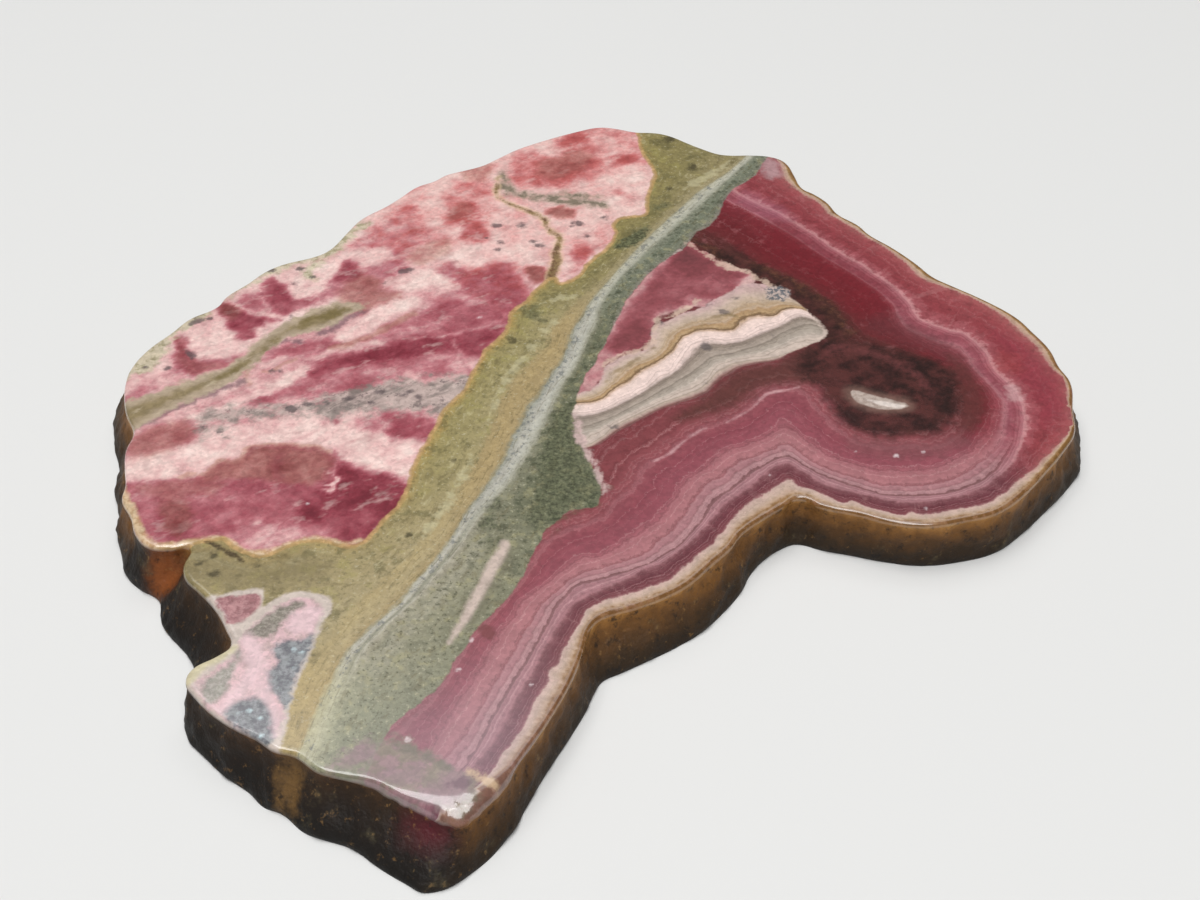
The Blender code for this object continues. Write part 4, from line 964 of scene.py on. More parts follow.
                (6.6, 29), (7.6, 30.2), (8.2, 31.4), (8.8, 32.8), (9.6, 33.4), (10.6, 32), (11.6, 30.8), (12.6, 29.6),
                (14.4, 28.5), (15.4, 27.8), (14.6, 26.4), (13.8, 25.4), (13.3, 24.2), (12, 23.5), (10.6, 23.6),
                (9.6, 24.3), (8.8, 23.8), (8.4, 22.6), (7.4, 22), (6.2, 21.8), (5.5, 20.8), (5.2, 19.4), (5, 17.9),
                (4.9, 16.5), (4.1, 15.3), (2.6, 14.8)]),
    (1.02, .9, [(1.2, 15.6), (2, 18), (3, 20.4), (4.6, 19), (4.6, 16.6), (3, 15.2)]),
    (1.14, .9, [(7.6, 29.2), (9.2, 33), (11.6, 30.8), (12.2, 29), (10.6, 28)]),
    (.74, 1.2, [(6, 24.4), (8, 27.2), (11, 27), (13.2, 25.6), (12.4, 24), (9.6, 25), (8, 23.6), (6.4, 22.8)]),
    (.06, .4, [(14.2, 26), (15.6, 27.6), (17, 26.6), (16, 25)]),
]
rose_streaks = [
    (.30, .22, .4, [(-38.2, 23), (-36.4, 22.1), (-35.4, 21.4), (-34.2, 20.9)]),
    (.30, .22, .45, [(-36.2, 24.9), (-34.8, 23.6), (-34, 22.4), (-33, 21)]),
    (.24, .35, .9, [(-33.4, 12.4), (-31, 13.7), (-28, 14), (-26, 15), (-24, 15.7), (-22, 16.2)]),
    (.10, .35, 1.1, [(-39, 4.6, .5), (-36, 6.1), (-34, 7.5), (-32, 8.9), (-30, 10.9, 1.5), (-28.5, 12.3, .6)]),
    (.30, .3, .5, [(-43.4, 6.6), (-41, 10), (-40, 11.4)]),
    (.46, .3, .35, [(-14.7, 16.8), (-14, 14.8), (-13.5, 12.9)]),
    (.40, .3, .3, [(-19, 16.6), (-14, 18), (-10, 19.8)]),
    (.50, .4, .5, [(-35.6, -5.7), (-34.4, -5.1), (-33.6, -4.2)]),
    (.18, .2, .5, [(-24.7, -3.2, .3), (-24.2, -4, .5), (-24.4, -4.8, .6), (-25.2, -4.9, .3)]),
    (.24, .2, .45, [(-24.3, -5, .3), (-24.4, -5.7, .5), (-25.2, -5.8, .3)]),
    (.44, .3, .3, [(-24.8, .6), (-24.5, -1.4), (-24.4, -3)]),
    (.46, .4, .4, [(-27.4, -2.4), (-26.8, -4), (-25.6, -4.9)]),
]
rose = np.full(count, 0.16)
for amount, soft, points in rose_clouds:
    brushed(rose, amount, 1.5 * soft + 0.1, area(points, 6.0))
for amount, soft, width, points in rose_streaks:
    brushed(rose, amount, soft, streak(width, points, 4.0))
mark("rose", rose)

# How brown it is, from iron in the stone.
brown = np.zeros(count)
for amount, soft, points in [
    (.9, .7, [(-36.4, -3.2), (-34.6, -1.6), (-32.8, -.7), (-32, .5), (-28, .4), (-25.6, -.4), (-24.6, -2),
              (-25.6, -4.4), (-28, -4.8), (-31, -4.2), (-34, -4.2), (-36, -4.4)]),
    (.7, .9, [(-44.6, 1), (-42, 3.6), (-39, 4.4), (-38, 2), (-40, -.2), (-43, -1.4)]),
    (.6, .7, [(-42.6, -5), (-40, -4.4), (-36, -4), (-34, -5), (-36, -6.4), (-40, -7)]),
    (.8, .6, [(-39.6, -7.4), (-37.8, -6.8), (-36.6, -8), (-36.4, -10.6), (-37.4, -11.9), (-38.8, -10.6)]),
    (.8, .8, [(-26.6, 26), (-25, 27.8), (-22.6, 27), (-22.4, 25.4), (-20.4, 24.9), (-20.6, 23.6), (-22.6, 22.4),
              (-24.4, 21), (-27, 22.8)]),
    (.5, .5, [(-42.3, 17.2), (-41.3, 16.8), (-40.8, 15.2), (-40.2, 14), (-39, 13.5), (-36.6, 12.7), (-39.6, 11.2),
              (-41.8, 13.4)]),
    (.8, .8, [(-39.4, 23), (-37.6, 22.8), (-36.4, 21.4), (-37.6, 20)]),
    (.7, .7, [(-7, 47), (-6.8, 49.6), (-4.8, 50.4), (-3.4, 52), (-1.4, 51.8), (-.8, 50), (-2.6, 47.4), (-4.4, 46),
              (-6.4, 46.2)]),
    (.9, .4, [(-6, 39.6), (-4.6, 40.6), (-3.8, 40.4), (-2.6, 39.4), (-3.4, 38.2), (-5.4, 38.6)]),
    (.8, .3, [(-8, 29.2), (-6.4, 29.3), (-5, 28.4), (-5.6, 26.6), (-6.8, 26.2), (-7.4, 27.6)]),
    (.7, .6, [(-20.4, 31), (-18.4, 33.6), (-16.6, 34.6), (-15.6, 33), (-17, 30.6), (-19, 29.4)]),
    (.6, .7, [(-16.4, 40.4), (-14.6, 41.6), (-14, 39.4), (-16.4, 37.6)]),
    (.7, .6, [(-15.6, 48.6), (-12.4, 49), (-12.3, 46.4), (-13, 45.2), (-15.2, 46)]),
]:
    brushed(brown, amount, soft, area(points, 4.0))
for amount, soft, width, points in [
    (1.0, .35, .9, [(-26.4, 15.4), (-25, 16.1), (-23, 17.3), (-21.4, 18.7), (-20, 20), (-18.8, 21.4)]),
    (1.0, .3, .5, [(-33, 11.6), (-32, 11.9), (-30.9, 12.8), (-30.4, 13.6)]),
    (.9, .3, .6, [(-34.5, 11.9), (-34.4, 10.8), (-34, 9.8)]),
    (1.1, .25, .5, [(-38.6, -3.7), (-36.2, -3.3), (-35.5, -1.8), (-33.4, -1.3), (-32.7, .3), (-31.6, .9), (-30, .9),
                    (-28.4, .9), (-26.4, .4), (-25.2, -.2)]),
    (.6, .4, .8, [(-29.6, -.6), (-29.8, -2.4), (-29.4, -4)]),
]:
    brushed(brown, amount, soft, streak(width, points, 4.0))
mark("brown", brown)

bed = node("ShaderNodeMapping", {"vector_type": "TEXTURE"}, Vector=spot,
           Rotation=(0.0, 0.0, math.radians(36.0)), Scale=(1.9, 1.0, 1.0)).outputs[0]
bed_grain = node("ShaderNodeTexNoise", Vector=bed, Scale=620.0, Detail=5.0, Roughness=0.62,
                 Distortion=0.5).outputs["Fac"]
soft_cloud = grain(2.4, 5.0, 0.66)
broad_cloud = grain(6.0, 3.0, 0.6)
depth = sum_of(marked("rose"), times(sum_of(soft_cloud, -0.5), 0.80))
depth = sum_of(depth, times(sum_of(broad_cloud, -0.5), 0.60))
depth = sum_of(depth, times(sum_of(bed_grain, -0.5), 0.62))
depth = sum_of(depth, 0.2)
mauve_rose = ramp(depth, 1.5, [
    (0.00, (244, 222, 214)), (0.20, (234, 204, 197)), (0.36, (224, 184, 180)), (0.52, (208, 158, 158)),
    (0.66, (190, 126, 132)), (0.80, (174, 102, 110)), (0.96, (156, 80, 90)), (1.12, (140, 60, 72)),
    (1.26, (122, 44, 56)), (1.50, (100, 32, 44)),
])
coral_rose = ramp(depth, 1.5, [
    (0.00, (240, 214, 206)), (0.20, (232, 200, 192)), (0.36, (226, 184, 178)), (0.52, (218, 160, 156)),
    (0.66, (204, 132, 130)), (0.80, (190, 106, 104)), (0.96, (174, 86, 84)), (1.12, (156, 68, 66)),
    (1.26, (138, 54, 52)), (1.50, (110, 40, 40)),
])
mark("warmth", true_y + 0.35 * true_x - 26.0)
left = laid(mauve_rose, coral_rose, between(sum_of(marked("warmth"), times(sum_of(soft_cloud, -0.5), 30.0)), -9.0, 9.0))
veinlets = grain(1.5, 3.0, 0.6, stretch=1.8, turn=30.0)


def veined(under):
    """Lay pale and dark hairs of later stone through a colour, along the beds."""
    under = laid(under, colour(236, 208, 202), times(between(veinlets, 0.55, 0.72), 0.30))
    return laid(under, colour(122, 52, 62), times(between(veinlets, 0.45, 0.30), 0.20))


left = veined(left)
patch_area = area([
    (-2.4, 8.6), (-.2, 9.8), (.05, 11.8), (1.2, 13.4), (2.5, 14.5), (4.2, 15.3), (4.9, 16.4), (5, 17.9), (5.4, 19.6),
    (6.4, 21), (8, 21.6), (9.8, 22.2), (11.2, 23), (12.8, 24.2), (14.4, 25.8), (16.2, 26.6), (15.8, 27.9),
    (14.8, 28.7), (13, 29.9), (12.2, 30.9), (11, 32.1), (9.6, 33.6), (8.6, 34.4), (4, 30), (0, 20), (-3, 12)], 4.0)
mark("patch_area", patch_area)
in_patch = times(within("patch_area", 0.2, 1.0),
                 between(sum_of(marked("past_vein"), times(wander, 0.7)), -0.12, 0.12))
stone_now = laid(stone_now, laid(mauve_rose, colour(144, 98, 96), 0.30), in_patch)
stone_now = touch(stone_now, "patch_rim", np.minimum.reduce([
    streak(.4, [(9, 33.8, .15), (10.2, 32.6, .35), (11.4, 31.3, .45), (12.6, 30, .6), (13.2, 29.4, 1.0), (14.6, 28.6, .5),
                (15.8, 27.8, .4), (17, 26.8, .3), (18.4, 25.6, .1)], 4.0),
    streak(.6, [(.2, 12.4, .3), (1.6, 14, .5), (3.4, 14.8, .5), (5, 16, .6), (5.5, 18.4, .5), (6.2, 20.4, .5),
                (8, 21.3, .7), (9.4, 22.4, .5), (9.8, 23.4, .2)], 4.0),
]), colour(206, 180, 162), 0.75, 0.25, 1.8)
iron = ramp(depth, 1.5, [
    (0.00, (220, 196, 176)), (0.36, (204, 166, 150)), (0.66, (178, 126, 116)), (0.96, (150, 92, 86)),
    (1.26, (116, 56, 52)), (1.50, (88, 38, 34)),
])
flow_of_clay = grain(0.8, 4.0, 0.65, stretch=5.0, turn=38.0)
left = laid(left, iron, times(between(sum_of(marked("brown"), times(sum_of(mottle, -0.5), 0.5)), 0.0, 1.1), 0.85))

# The olive clay streak with its purple lower edge, the grey bed, and the yellow-green skin.
mark("clay", np.minimum.reduce([
    streak(2.6, [(-49, .4, 4.2), (-46.4, 3.4, 4.4), (-43.6, 5.9, 3.8), (-41.2, 7.6, 3.2), (-38.6, 9.6, 2.8),
                 (-36.4, 11.2, 2.3), (-34.7, 13.2, 1.9), (-33.7, 15.4, 1.9), (-32.3, 17.4, 2.0),
                 (-30, 19, 3.0), (-28.4, 20.2, 3.6), (-26.8, 21.4, 3.0), (-25.4, 22.2, 1.8), (-24.4, 22.4, .8)]),
]))
mark("olive_core", np.minimum.reduce([
    streak(1.0, [(-30.4, 19, .4), (-28.6, 20.4), (-27, 21.3, 1.4), (-25.6, 21.8, .5)]),
    streak(.5, [(-37.4, 10.6, .3), (-35.6, 11.9, .9), (-34.6, 13.2, .5)]),
    streak(.4, [(-33.6, 13.6, .2), (-33, 15.6, .5), (-32.2, 16.9, .3)]),
]))
mark("clay_edge", np.minimum.reduce([
    streak(.9, [(-43.6, 3.2, .4), (-42.2, 4.6, .7), (-40.8, 5.8), (-39.4, 7), (-38, 8.4, 1.1), (-36.7, 9),
                (-35.2, 9.6), (-34.6, 10.4, .4)]),
    streak(.7, [(-32, 16.3, .3), (-30.8, 16.6, .7), (-29.6, 16.6, .4)]),
    streak(.9, [(-28.6, 17.2, .3), (-27, 18.4, .8), (-25.8, 20, 1.1), (-24.6, 21.2, .9), (-23.6, 21.8, .3)]),
    streak(.9, [(-31.2, 20.8, .3), (-30.9, 19.8, .9), (-31.2, 19, .3)]),
]))
mark("grey_bed", np.minimum.reduce([
    area([(-38, 5), (-36.4, 5.9), (-33, 6.4), (-30, 6.6), (-28, 7.1), (-25.4, 8.3), (-23, 9.4), (-20, 10.3),
          (-17, 10.4), (-13.2, 11.4), (-12, 9.4), (-13.4, 6.4), (-14.8, 5.4), (-18, 5.6), (-21, 5.8), (-23.6, 5),
          (-26, 4.7), (-29, 5.2), (-32, 4.8), (-34, 4.3), (-35.4, 3.6), (-37.4, 3.8)]),
    area([(-37.8, 4.6), (-36.8, 4.4), (-36.6, 2.4), (-37, 1.8), (-37.6, 2.6)]),
    area([(-36, 3.4), (-35.5, 3.2), (-35.4, 2), (-35.8, 1.9)]),
]))
mark("green_skin", np.minimum.reduce([
    area([(-47.6, 10), (-46.6, 14), (-45.6, 16.6), (-43.8, 19), (-42, 20.9), (-40.3, 21.9), (-39.6, 21),
          (-40.6, 19.8), (-41.8, 18.2), (-42.8, 16.2), (-43.1, 13.9), (-43.9, 12), (-45, 11.4)]),
    streak(1.5, [(-39.6, 23.4, .6), (-37.6, 25.6), (-35.4, 27.8), (-33, 29.6), (-30.4, 30.9), (-28.6, 32.2, 1.9),
                 (-27.2, 34.6, 1.2), (-25.4, 37.4, .8)]),
    area([(-31, 28.6), (-30.6, 29.8), (-29.4, 30), (-29.6, 28), (-29.2, 26.8), (-30.2, 26.8)]),
]))
in_clay = sum_of(marked("clay"), times(sum_of(bed_grain, -0.5), 1.4))
clay = laid(colour(140, 124, 92), colour(178, 160, 138), between(in_clay, -1.5, -0.2))
clay = laid(clay, colour(206, 190, 164), times(between(flow_of_clay, 0.56, 0.70), 0.5))
left = laid(left, colour(120, 92, 98), times(within("clay_edge", 0.35, 2.0), 0.75))
left = laid(left, clay, within("clay", 0.35, 1.6))
left = laid(left, colour(116, 102, 62), times(within("olive_core", 0.45, 1.8), 0.8))
grey_stone = laid(colour(186, 170, 162), colour(126, 124, 116), between(bed_grain, 0.42, 0.60))
grey_stone = laid(grey_stone, colour(74, 76, 76), times(between(grain(0.9, 4.0, 0.75), 0.55, 0.68), 0.80))
left = laid(left, grey_stone, times(within("grey_bed", 0.9, 5.0), 0.84))
left = laid(left, laid(colour(200, 192, 164), colour(150, 148, 112), between(mottle, 0.45, 0.62)),
            times(within("green_skin", 0.5, 2.4), 0.85))

# The grey-olive arc, the brown crack and the dark specks at the far end.
mark("grey_arc", np.minimum.reduce([
    streak(1.0, [(-11.1, 47.2, .4), (-10.7, 45.2, 1.1), (-10.2, 43.9, 1.2), (-9.4, 43.2, .8), (-7.8, 42.5, .9),
                 (-5.8, 42.3, 1.0), (-3.6, 42.5, 1.0), (-1.6, 42.6, .7), (-.2, 42.4, .3)]),
    streak(1.0, [(-4.6, 41.6, .4), (-3, 41.4, 1.2), (-1.4, 41.5, 1.5), (-.2, 41.2, .9), (.8, 40.4, .3)]),
]))
x, y = true_x, true_y
mark("brown_crack", np.minimum.reduce([
    streak(.3, [(-11.4, 46.4, .1), (-11.4, 44.4, .2), (-11.3, 42.4, .25), (-10.3, 41.4, .25), (-9.1, 40.6, .45),
                (-8, 39.7, .25), (-6.8, 38.9, .45), (-6.0, 37.9, .5), (-5.8, 36.8, .45), (-5.2, 35.6, .4),
                (-4.5, 35, .5), (-4.4, 33.6, .6), (-4.7, 31.9, .8), (-4.6, 30, .8), (-4.9, 28.5, .9),
                (-5, 27, 1.0)]),
]))
left = laid(left, colour(150, 138, 120), times(within("grey_arc", 0.6, 2.4, 0.25), 0.80))
left = laid(left, colour(104, 98, 80), times(within("grey_arc", 0.3, 3.0, -0.25), 0.70))
left = laid(left, colour(214, 184, 150), times(within("brown_crack", 0.3, 1.2, 0.28), 0.6))
left = laid(left, laid(colour(134, 112, 72), colour(96, 68, 42), between(mottle, 0.44, 0.58)),
            times(within("brown_crack", 0.25, 1.2), 0.92))
left_specks = [
    (-29.4, 5.9, .6), (-28.2, 6.7, .35), (-27.6, 6.7, .3), (-24.1, 7.5, .3), (-21.4, 8.5, .35), (-21, 8.6, .4),
    (-18.9, 8, .35), (-18.5, 8.5, .3), (-17.5, 7.8, .25), (-21.9, 6.9, .3), (-26.2, 6.8, .25), (-42.4, 12.2, .3),
    (-44.6, 12.4, .2), (-40.9, 19.6, .4), (-40.6, 19.8, .4), (-39.5, 20.2, .25), (-34.3, 28.6, .3),
    (-31.4, 28.9, .35), (-31.6, 26.3, .3), (-29.7, 27.5, .3), (-20.4, 28.5, .5), (-20, 28.7, .4), (-22.4, 26.4, .2),
    (-11, 36.9, .4), (-8.3, 36.9, .4), (-2.2, 37.3, .5), (-2.8, 37.3, .25), (-3.1, 36.7, .2), (.4, 38.3, .45),
    (-7.1, 33.9, .35), (-6.6, 33.2, .3), (-6.1, 33, .3), (-10.6, 33.7, .3), (-10.8, 32.3, .2), (-12, 34.6, .2),
    (-1.4, 34.8, .2), (-31.2, 11.8, .25), (-32.2, 11.9, .25), (-37.3, 3.4, .25), (-35.8, 2.4, .25),
]
specks = np.minimum.reduce([np.hypot((x - sx) * 0.85, y - sy) - size for sx, sy, size in left_specks])
specks = np.minimum(specks, streak(.4, [(-40.9, 14.9, .3), (-40.5, 14.4, .7), (-40, 13.8, .3)]))
mark("left_specks", np.minimum(specks, REACH))
left = laid(left, colour(88, 76, 78), times(within("left_specks", 0.22, 1.4), 0.8))

# The cream-yellow line under the lower raspberry bed, and the gold line along the mudstone.
mark("yellow_line", streak(.8, [(-43.6, -5, .5), (-42.6, -7.4, 1.0), (-41.4, -9.8, .9), (-40.4, -11.8, .9), (-39.3, -12.9, .9),
                                (-37.8, -12.7, .8), (-35.8, -12.3, .7), (-33.4, -11.9, .7), (-32.2, -12.9, .9),
                                (-30.8, -13.8, 1.0), (-28.9, -13.8, 1.0), (-27.2, -12.7, .8), (-25, -11.9, .7),
                                (-22.8, -12.6, .6), (-21.1, -12.2, .5)]))
left = laid(left, laid(colour(216, 192, 156), colour(188, 156, 114), between(mottle, 0.44, 0.6)),
            times(within("yellow_line", 0.30, 1.0), 0.9))
contact = sum_of(marked("into_vein"), times(wander, 0.6))
stone_now = laid(stone_now, left, between(contact, 0.10, -0.10))
gold = laid(colour(170, 140, 92), colour(196, 160, 110), between(mottle, 0.45, 0.6))
off_contact = node("ShaderNodeMath", {"operation": "ABSOLUTE"}, i0=contact).outputs[0]
stone_now = laid(stone_now, gold, times(between(off_contact, 0.34, 0.10), 0.85))


# A lump of pale pink stone with a white rim, and a small rose shard, were caught in the mudstone's tongue
# beside the sawn end. The lump holds blue-grey crystal and olive clay between its pink arms.
stone_now = touch(stone_now, "lump", area([
    (-34.5, -20), (-33.6, -19.1), (-31, -18.4), (-29.2, -18.1), (-28.7, -18.6), (-28.8, -20.4), (-27.6, -19.2),
    (-26, -18.5), (-24.4, -18.7), (-23.2, -19.3), (-22.7, -20.3), (-23.1, -21.7), (-23.6, -23.4), (-23.9, -25.4),
    (-24.4, -27.6), (-24.7, -30), (-25, -32), (-25, -34), (-25.2, -36), (-26, -38), (-33, -36), (-38, -32),
    (-38, -22)]), colour(200, 186, 176), 1.0, 0.22, 1.0)
stone_now = touch(stone_now, "rose_shard", area([(-32.9, -19.2), (-31, -19), (-29.1, -18.9), (-29.1, -20.6),
                  (-30, -21.9), (-31.1, -22.4), (-31.9, -21.2)], 4.0),
                  laid(colour(146, 96, 100), colour(180, 132, 134), between(mottle, 0.42, 0.62)), 0.95, 0.2, 1.0)
lump_pink = laid(colour(214, 178, 182), colour(188, 162, 160), between(mottle, 0.42, 0.62))
stone_now = touch(stone_now, "lump_heart", area([
    (-29.6, -23), (-28, -20.8), (-26.6, -19.6), (-25, -19.3), (-23.8, -20.1), (-23.8, -22), (-24.2, -24.2),
    (-24.6, -26.6), (-25, -29), (-25.3, -31.4), (-25.7, -33.8), (-27, -35), (-29, -33.6), (-31.4, -31.8),
    (-33, -29.6), (-32, -27.6), (-30.4, -26), (-30, -24.4)], 4.0), lump_pink, 0.95, 0.3, 1.6)
stone_now = touch(stone_now, "lump_clay", area([
    (-29.8, -23.6), (-29, -22.4), (-28, -21), (-27, -20.2), (-25.6, -19.7), (-25.1, -20), (-26, -21.1),
    (-26.8, -22.3), (-27.2, -23.4), (-28.4, -23.9)], 4.0),
    laid(colour(112, 110, 96), colour(146, 142, 130), between(speckle, 0.42, 0.60)), 0.88, 0.30, 1.8)
stone_now = touch(stone_now, "lump_sage", area([
    (-32.8, -29.4), (-31.8, -28.4), (-30.6, -27), (-30, -25.2), (-29.8, -27), (-30.2, -28.8), (-30.6, -30.2),
    (-31.2, -31.2), (-32.2, -30.6)], 4.0),
    laid(colour(134, 136, 124), colour(160, 158, 148), between(speckle, 0.42, 0.60)), 0.85, 0.40, 1.8)
glassy = laid(colour(94, 100, 106), colour(140, 146, 148), between(grain(0.7, 4.0, 0.7), 0.38, 0.62))
stone_now = touch(stone_now, "lump_crystal", np.minimum.reduce([
    area([(-27.4, -25.2), (-26.2, -24.2), (-25, -24.2), (-24.2, -23.4), (-24, -24.8), (-24.4, -26.6),
          (-24.8, -28.4), (-24.9, -30.4), (-25.2, -31.9), (-26.2, -30.6), (-27, -29.2), (-27.2, -27.6),
          (-26.6, -26.6)], 4.0),
    area([(-30.2, -31.4), (-28.8, -30.6), (-27.4, -30.6), (-26.6, -31.6), (-26, -33.4), (-26.1, -35.2),
          (-27.6, -34.8), (-29, -33.6), (-30.2, -32.4)], 4.0),
]), glassy, 0.92, 0.35, 1.8)
stone_now = touch(stone_now, "lump_arms", np.minimum.reduce([
    streak(1.4, [(-29.4, -24, 1.0), (-28.6, -26, 1.6), (-28.4, -28, 1.4), (-29.4, -30.2, 1.2), (-30.6, -31.8, .8)], 4.0),
    streak(.7, [(-27.6, -27, .4), (-27.6, -29.4, 1.0), (-26.2, -31.6, .7), (-25.6, -34.2, .5)], 4.0),
    area([(-26.2, -21.4), (-24.8, -20.3), (-23.7, -20.8), (-23.8, -22.4), (-24.4, -23.4), (-25.8, -23.4)], 4.0),
]), colour(222, 192, 196), 0.75, 0.5, 2.0)
stone_now = touch(stone_now, "lump_skin", streak(1.0, [(-33.8, -28.8, .8), (-33, -27.2, 1.2), (-31.6, -26.1, 1.1),
                  (-30.4, -25, .6)], 4.0), colour(204, 194, 160), 0.9, 0.3, 1.0)
for number, (sx, sy) in enumerate([(-29.1, -32.3), (-28.1, -31.9), (-26.9, -34.5), (-28.9, -33.2), (-25.4, -25.2),
                                   (-25.2, -27.3), (-24.7, -25.5), (-27.2, -32.8)]):
    dot = np.hypot(x - sx, y - sy) - 0.12
    glints = dot if number == 0 else np.minimum(glints, dot)
stone_now = touch(stone_now, "glints", np.minimum(glints, REACH), colour(206, 226, 230), 0.85, 0.22, 1.2)
stone_now = touch(stone_now, "tongue_crack", streak(.3, [(-34.8, -12.2, .3), (-33.8, -12.8, .4), (-32.4, -13.8, .4),
                  (-31, -14.8, .3)], 4.0), colour(58, 44, 28), 0.85, 0.18, 0.9)
# Painted glints: small white dots where light catches the polished face, the larger ones near the sawn end.
for number, (sx, sy) in enumerate([(-15.3, -35), (-10.7, -24), (-11.6, -27.5), (-5.6, -29.1), (15.6, -3.5),
                                   (29.3, -8), (23.7, -.3), (27.4, -.8), (30, -.3), (-26.4, -7.4), (-24, 4.6),
                                   (-12.2, 20.4), (-19.6, 22)]):
    dot = np.hypot(x - sx, y - sy) - (0.14 if sy < -20 else 0.06)
    painted_glint_dots = dot if number == 0 else np.minimum(painted_glint_dots, dot)
stone_now = touch(stone_now, "painted_glint_dots", np.minimum(painted_glint_dots, REACH), colour(232, 214, 216), 0.85, 0.22, 1.2)


# The whole stone is a mass of small crystals, each a little lighter or darker than the next.
crystal = node("ShaderNodeTexVoronoi", Vector=spot, Scale=1.0 / (0.34 * MM)).outputs["Color"]
crystal = node("ShaderNodeSeparateColor", Color=crystal).outputs["Red"]
tone = sum_of(times(grain(1.1, 4.0, 0.72), 0.75), times(crystal, 0.25))
stone_now = node("ShaderNodeVectorMath", {"operation": "SCALE"}, Vector=stone_now,
                 Scale=between(tone, 0.22, 0.78, 0.84, 1.14)).outputs[0]
# The rind: golden brown just under the polished edge and darker towards the foot, that darkening being painted
# shade. It is painted nearly black as shade at the sawn end and in the notch, and wine red as light through the rounded
# corner.
height = node("ShaderNodeSeparateXYZ", Vector=spot).outputs["Z"]
rough_height = sum_of(height, times(sum_of(grain(1.8, 4.0, 0.65), -0.5), 0.0026))
# Painted shade: this ramp takes the rind from golden brown under the edge down to near black at the foot.
golden = ramp(rough_height, 0.0052, [
    (0.0, (34, 24, 13)), (0.0014, (54, 37, 18)), (0.0026, (86, 57, 27)), (0.0036, (120, 80, 36)),
    (0.0043, (152, 104, 48)), (0.0048, (176, 126, 66)), (0.0052, (188, 146, 92)),
])
dark = ramp(rough_height, 0.0052, [
    (0.0, (10, 8, 6)), (0.0020, (14, 10, 8)), (0.0036, (22, 16, 11)), (0.0044, (44, 28, 17)),
    (0.0050, (88, 56, 32)),
])
# Painted shade: the walls along the sawn end and the notch take the near-black ramp.
mark("painted_shade_walls", np.minimum.reduce([
    streak(7.0, [(-36, -27), (-33.6, -29.6), (-30, -33), (-26, -36), (-21, -38.6), (-17, -40.6), (-14, -43)]),
    streak(8.0, [(-41, -14), (-38, -17), (-36, -20), (-35, -24), (-36, -27)]),
]))
crust = laid(golden, dark, times(within("painted_shade_walls", 1.2, 2.0), 0.9))
mark("wine_light", np.hypot(x + 13.4, y + 42.8) - 1.8)
crust = laid(crust, colour(88, 22, 34), times(times(within("wine_light", 2.0, 2.0), 0.85),
                                              between(height, 0.0012, 0.0034)))
crust = touch(crust, "tan_patch", np.hypot(x + 24.4, y + 37.4) - 1.2, colour(124, 92, 50), 0.7, 0.8, 3.0)
crust = touch(crust, "orange_notch", np.hypot(x + 38.4, y + 13.6) - 1.6, colour(150, 82, 34), 0.7, 1.2, 2.0)
crust = laid(crust, colour(20, 15, 10), times(between(grain(1.0, 4.0, 0.7), 0.47, 0.30), 0.75))
crust = laid(crust, colour(158, 118, 68), times(between(grain(0.8, 4.0, 0.72), 0.58, 0.76), 0.50))
crust = laid(crust, colour(120, 112, 84), times(between(grain(3.2, 4.0, 0.7), 0.58, 0.74), 0.22))

# The polish ends a little below the top edge, and lower down the rounded corner at the sawn end.
from_corner = np.hypot(x + 10.9, y + 42.6)
band = POLISHED_BAND + CORNER_BAND * np.clip(1.0 - from_corner / 11.0, 0.0, 1.0) ** 0.8
mark("polish", place[2::3] / MM - (top / MM - band))
polish = between(sum_of(marked("polish"), times(wander, 0.25)), -0.07, 0.07)
for name, kind, value in (("Colour", "NodeSocketColor", laid(crust, stone_now, between(marked("polish"), -0.10, 0.34))),
                          ("Sawn", "NodeSocketColor", stone_now),
                          ("Polish", "NodeSocketFloat", polish)):
    colours.interface.new_socket(name, in_out="OUTPUT", socket_type=kind)
    if name == "Colour":
        out = colours.nodes.new("NodeGroupOutput")
    colours.links.new(value, out.inputs[name])


def finish(name, output, roughness, bump_size, bump_depth):
    """Make a finish of the stone with its grain, and return its nodes."""
    made = bpy.data.materials.new(name)
    made.use_nodes = True
    nodes, links = made.node_tree.nodes, made.node_tree.links
    shader = nodes["Principled BSDF"]
    shader.inputs["Roughness"].default_value = roughness
    shader.inputs["IOR"].default_value = 1.8
    group = nodes.new("ShaderNodeGroup")
    group.node_tree = colours
    links.new(group.outputs[output], shader.inputs["Base Color"])
    where = nodes.new("ShaderNodeTexCoord")
    texture = nodes.new("ShaderNodeTexNoise")
    texture.inputs["Scale"].default_value = 1.0 / (bump_size * MM)
    texture.inputs["Detail"].default_value = 4.0
    links.new(where.outputs["Object"], texture.inputs["Vector"])
    bump = nodes.new("ShaderNodeBump")
    bump.inputs["Distance"].default_value = bump_depth * MM
    links.new(texture.outputs["Fac"], bump.inputs["Height"])
    links.new(bump.outputs["Normal"], shader.inputs["Normal"])
    stone.data.materials.append(made)
    return nodes, links, shader, group, bump


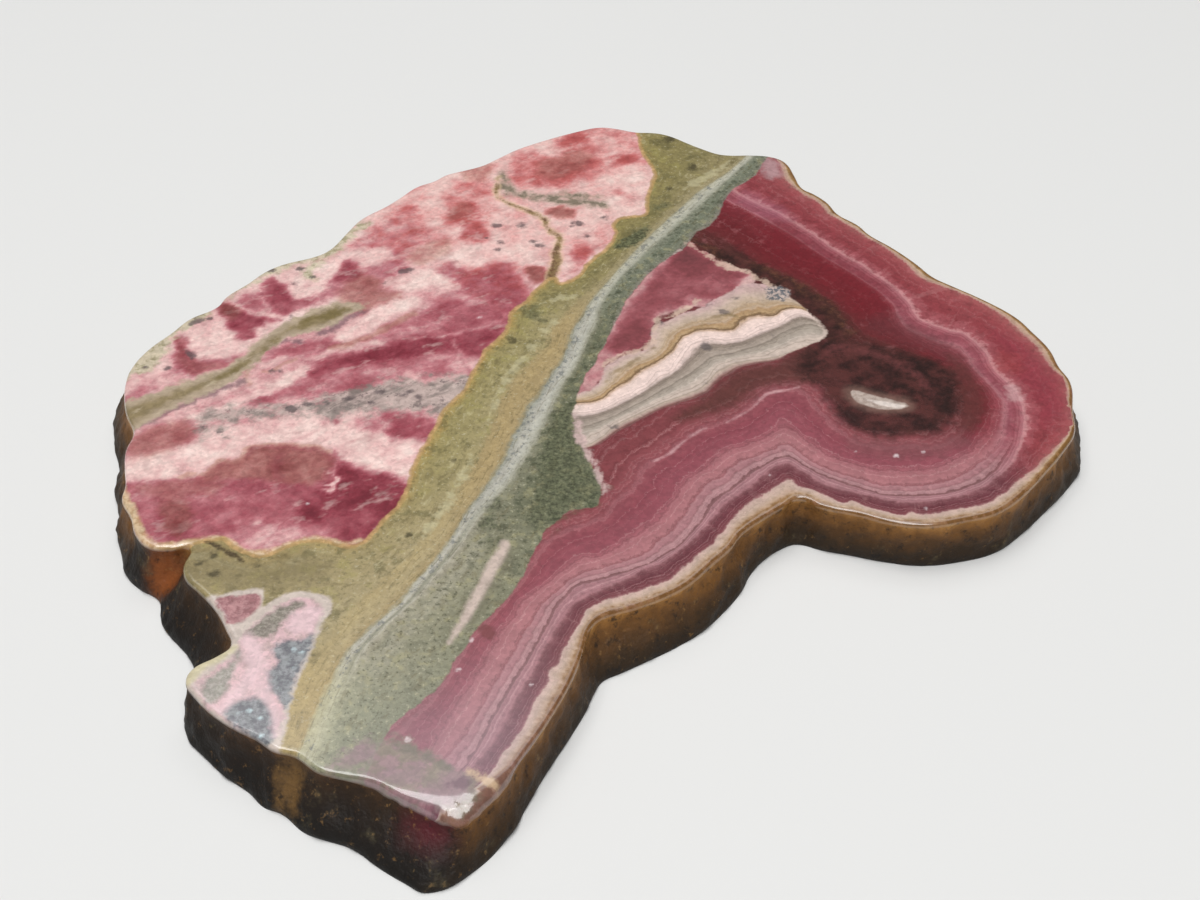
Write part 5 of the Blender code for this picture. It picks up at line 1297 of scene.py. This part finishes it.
# The face and the rind are one finish: where it is polished it is glossy and level, and elsewhere rough.
nodes, links, shader, group, bump = finish("polished_stone_and_rind", "Colour", 0.16, 0.35, 0.12)
for socket, rough_value, polished_value in (
        (shader.inputs["Roughness"], 0.62, 0.16),
        (shader.inputs["Specular IOR Level"], 0.16, 0.50),
        (bump.inputs["Strength"], 1.0, 0.0)):
    change = nodes.new("ShaderNodeMapRange")
    change.inputs["To Min"].default_value = rough_value
    change.inputs["To Max"].default_value = polished_value
    links.new(group.outputs["Polish"], change.inputs["Value"])
    links.new(change.outputs["Result"], socket)
finish("sawn_stone", "Sawn", 0.55, 0.3, 0.03)
facing = np.array([f.normal.z for f in stone.data.polygons])
stone.data.polygons.foreach_set("material_index", np.where(facing < -0.999, 1, 0).astype(np.int32))
stone.data.shade_smooth()
stone.data.set_sharp_from_angle(angle=math.radians(60.0))
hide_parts("slice")
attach(stone, "root")


# The floor is plain pale card, and the light is soft.
floor_finish = bpy.data.materials.new("pale_floor")
floor_finish.use_nodes = True
floor_shader = floor_finish.node_tree.nodes["Principled BSDF"]
floor_shader.inputs["Base Color"].default_value = (0.70, 0.70, 0.69, 1.0)
floor_shader.inputs["Roughness"].default_value = 0.85
bpy.ops.object.select_all(action="DESELECT")
bpy.ops.mesh.primitive_plane_add(size=6.0, location=(0.0, 0.0, 0.0))
floor = bpy.context.object
floor.name = "floor"
floor.data.materials.append(floor_finish)


def soft_light(name, place, aim, width, depth, power):
    lamp = bpy.data.lights.new(name, "AREA")
    lamp.shape = "RECTANGLE"
    lamp.size = width
    lamp.size_y = depth
    lamp.energy = power
    holder = bpy.data.objects.new(name, lamp)
    scene.collection.objects.link(holder)
    holder.location = place
    holder.rotation_euler = (Vector(aim) - Vector(place)).to_track_quat("-Z", "Y").to_euler()


soft_light("overhead", (-0.12, 0.02, 0.85), (0.0, 0.0, 0.0), 0.50, 0.50, 4.2)
soft_light("front_high", (0.05, -0.40, 0.74), (0.0, -0.02, 0.0), 0.40, 0.50, 3.6)
soft_light("high_back", (0.0, 0.446, 0.839), (0.0, 0.0, 0.0), 0.9, 0.40, 1.7)
world = bpy.data.worlds.new("room")
world.use_nodes = True
world.node_tree.nodes["Background"].inputs["Color"].default_value = (1.0, 1.0, 1.0, 1.0)
world.node_tree.nodes["Background"].inputs["Strength"].default_value = 0.10
scene.world = world
scene.view_settings.view_transform = "Standard"
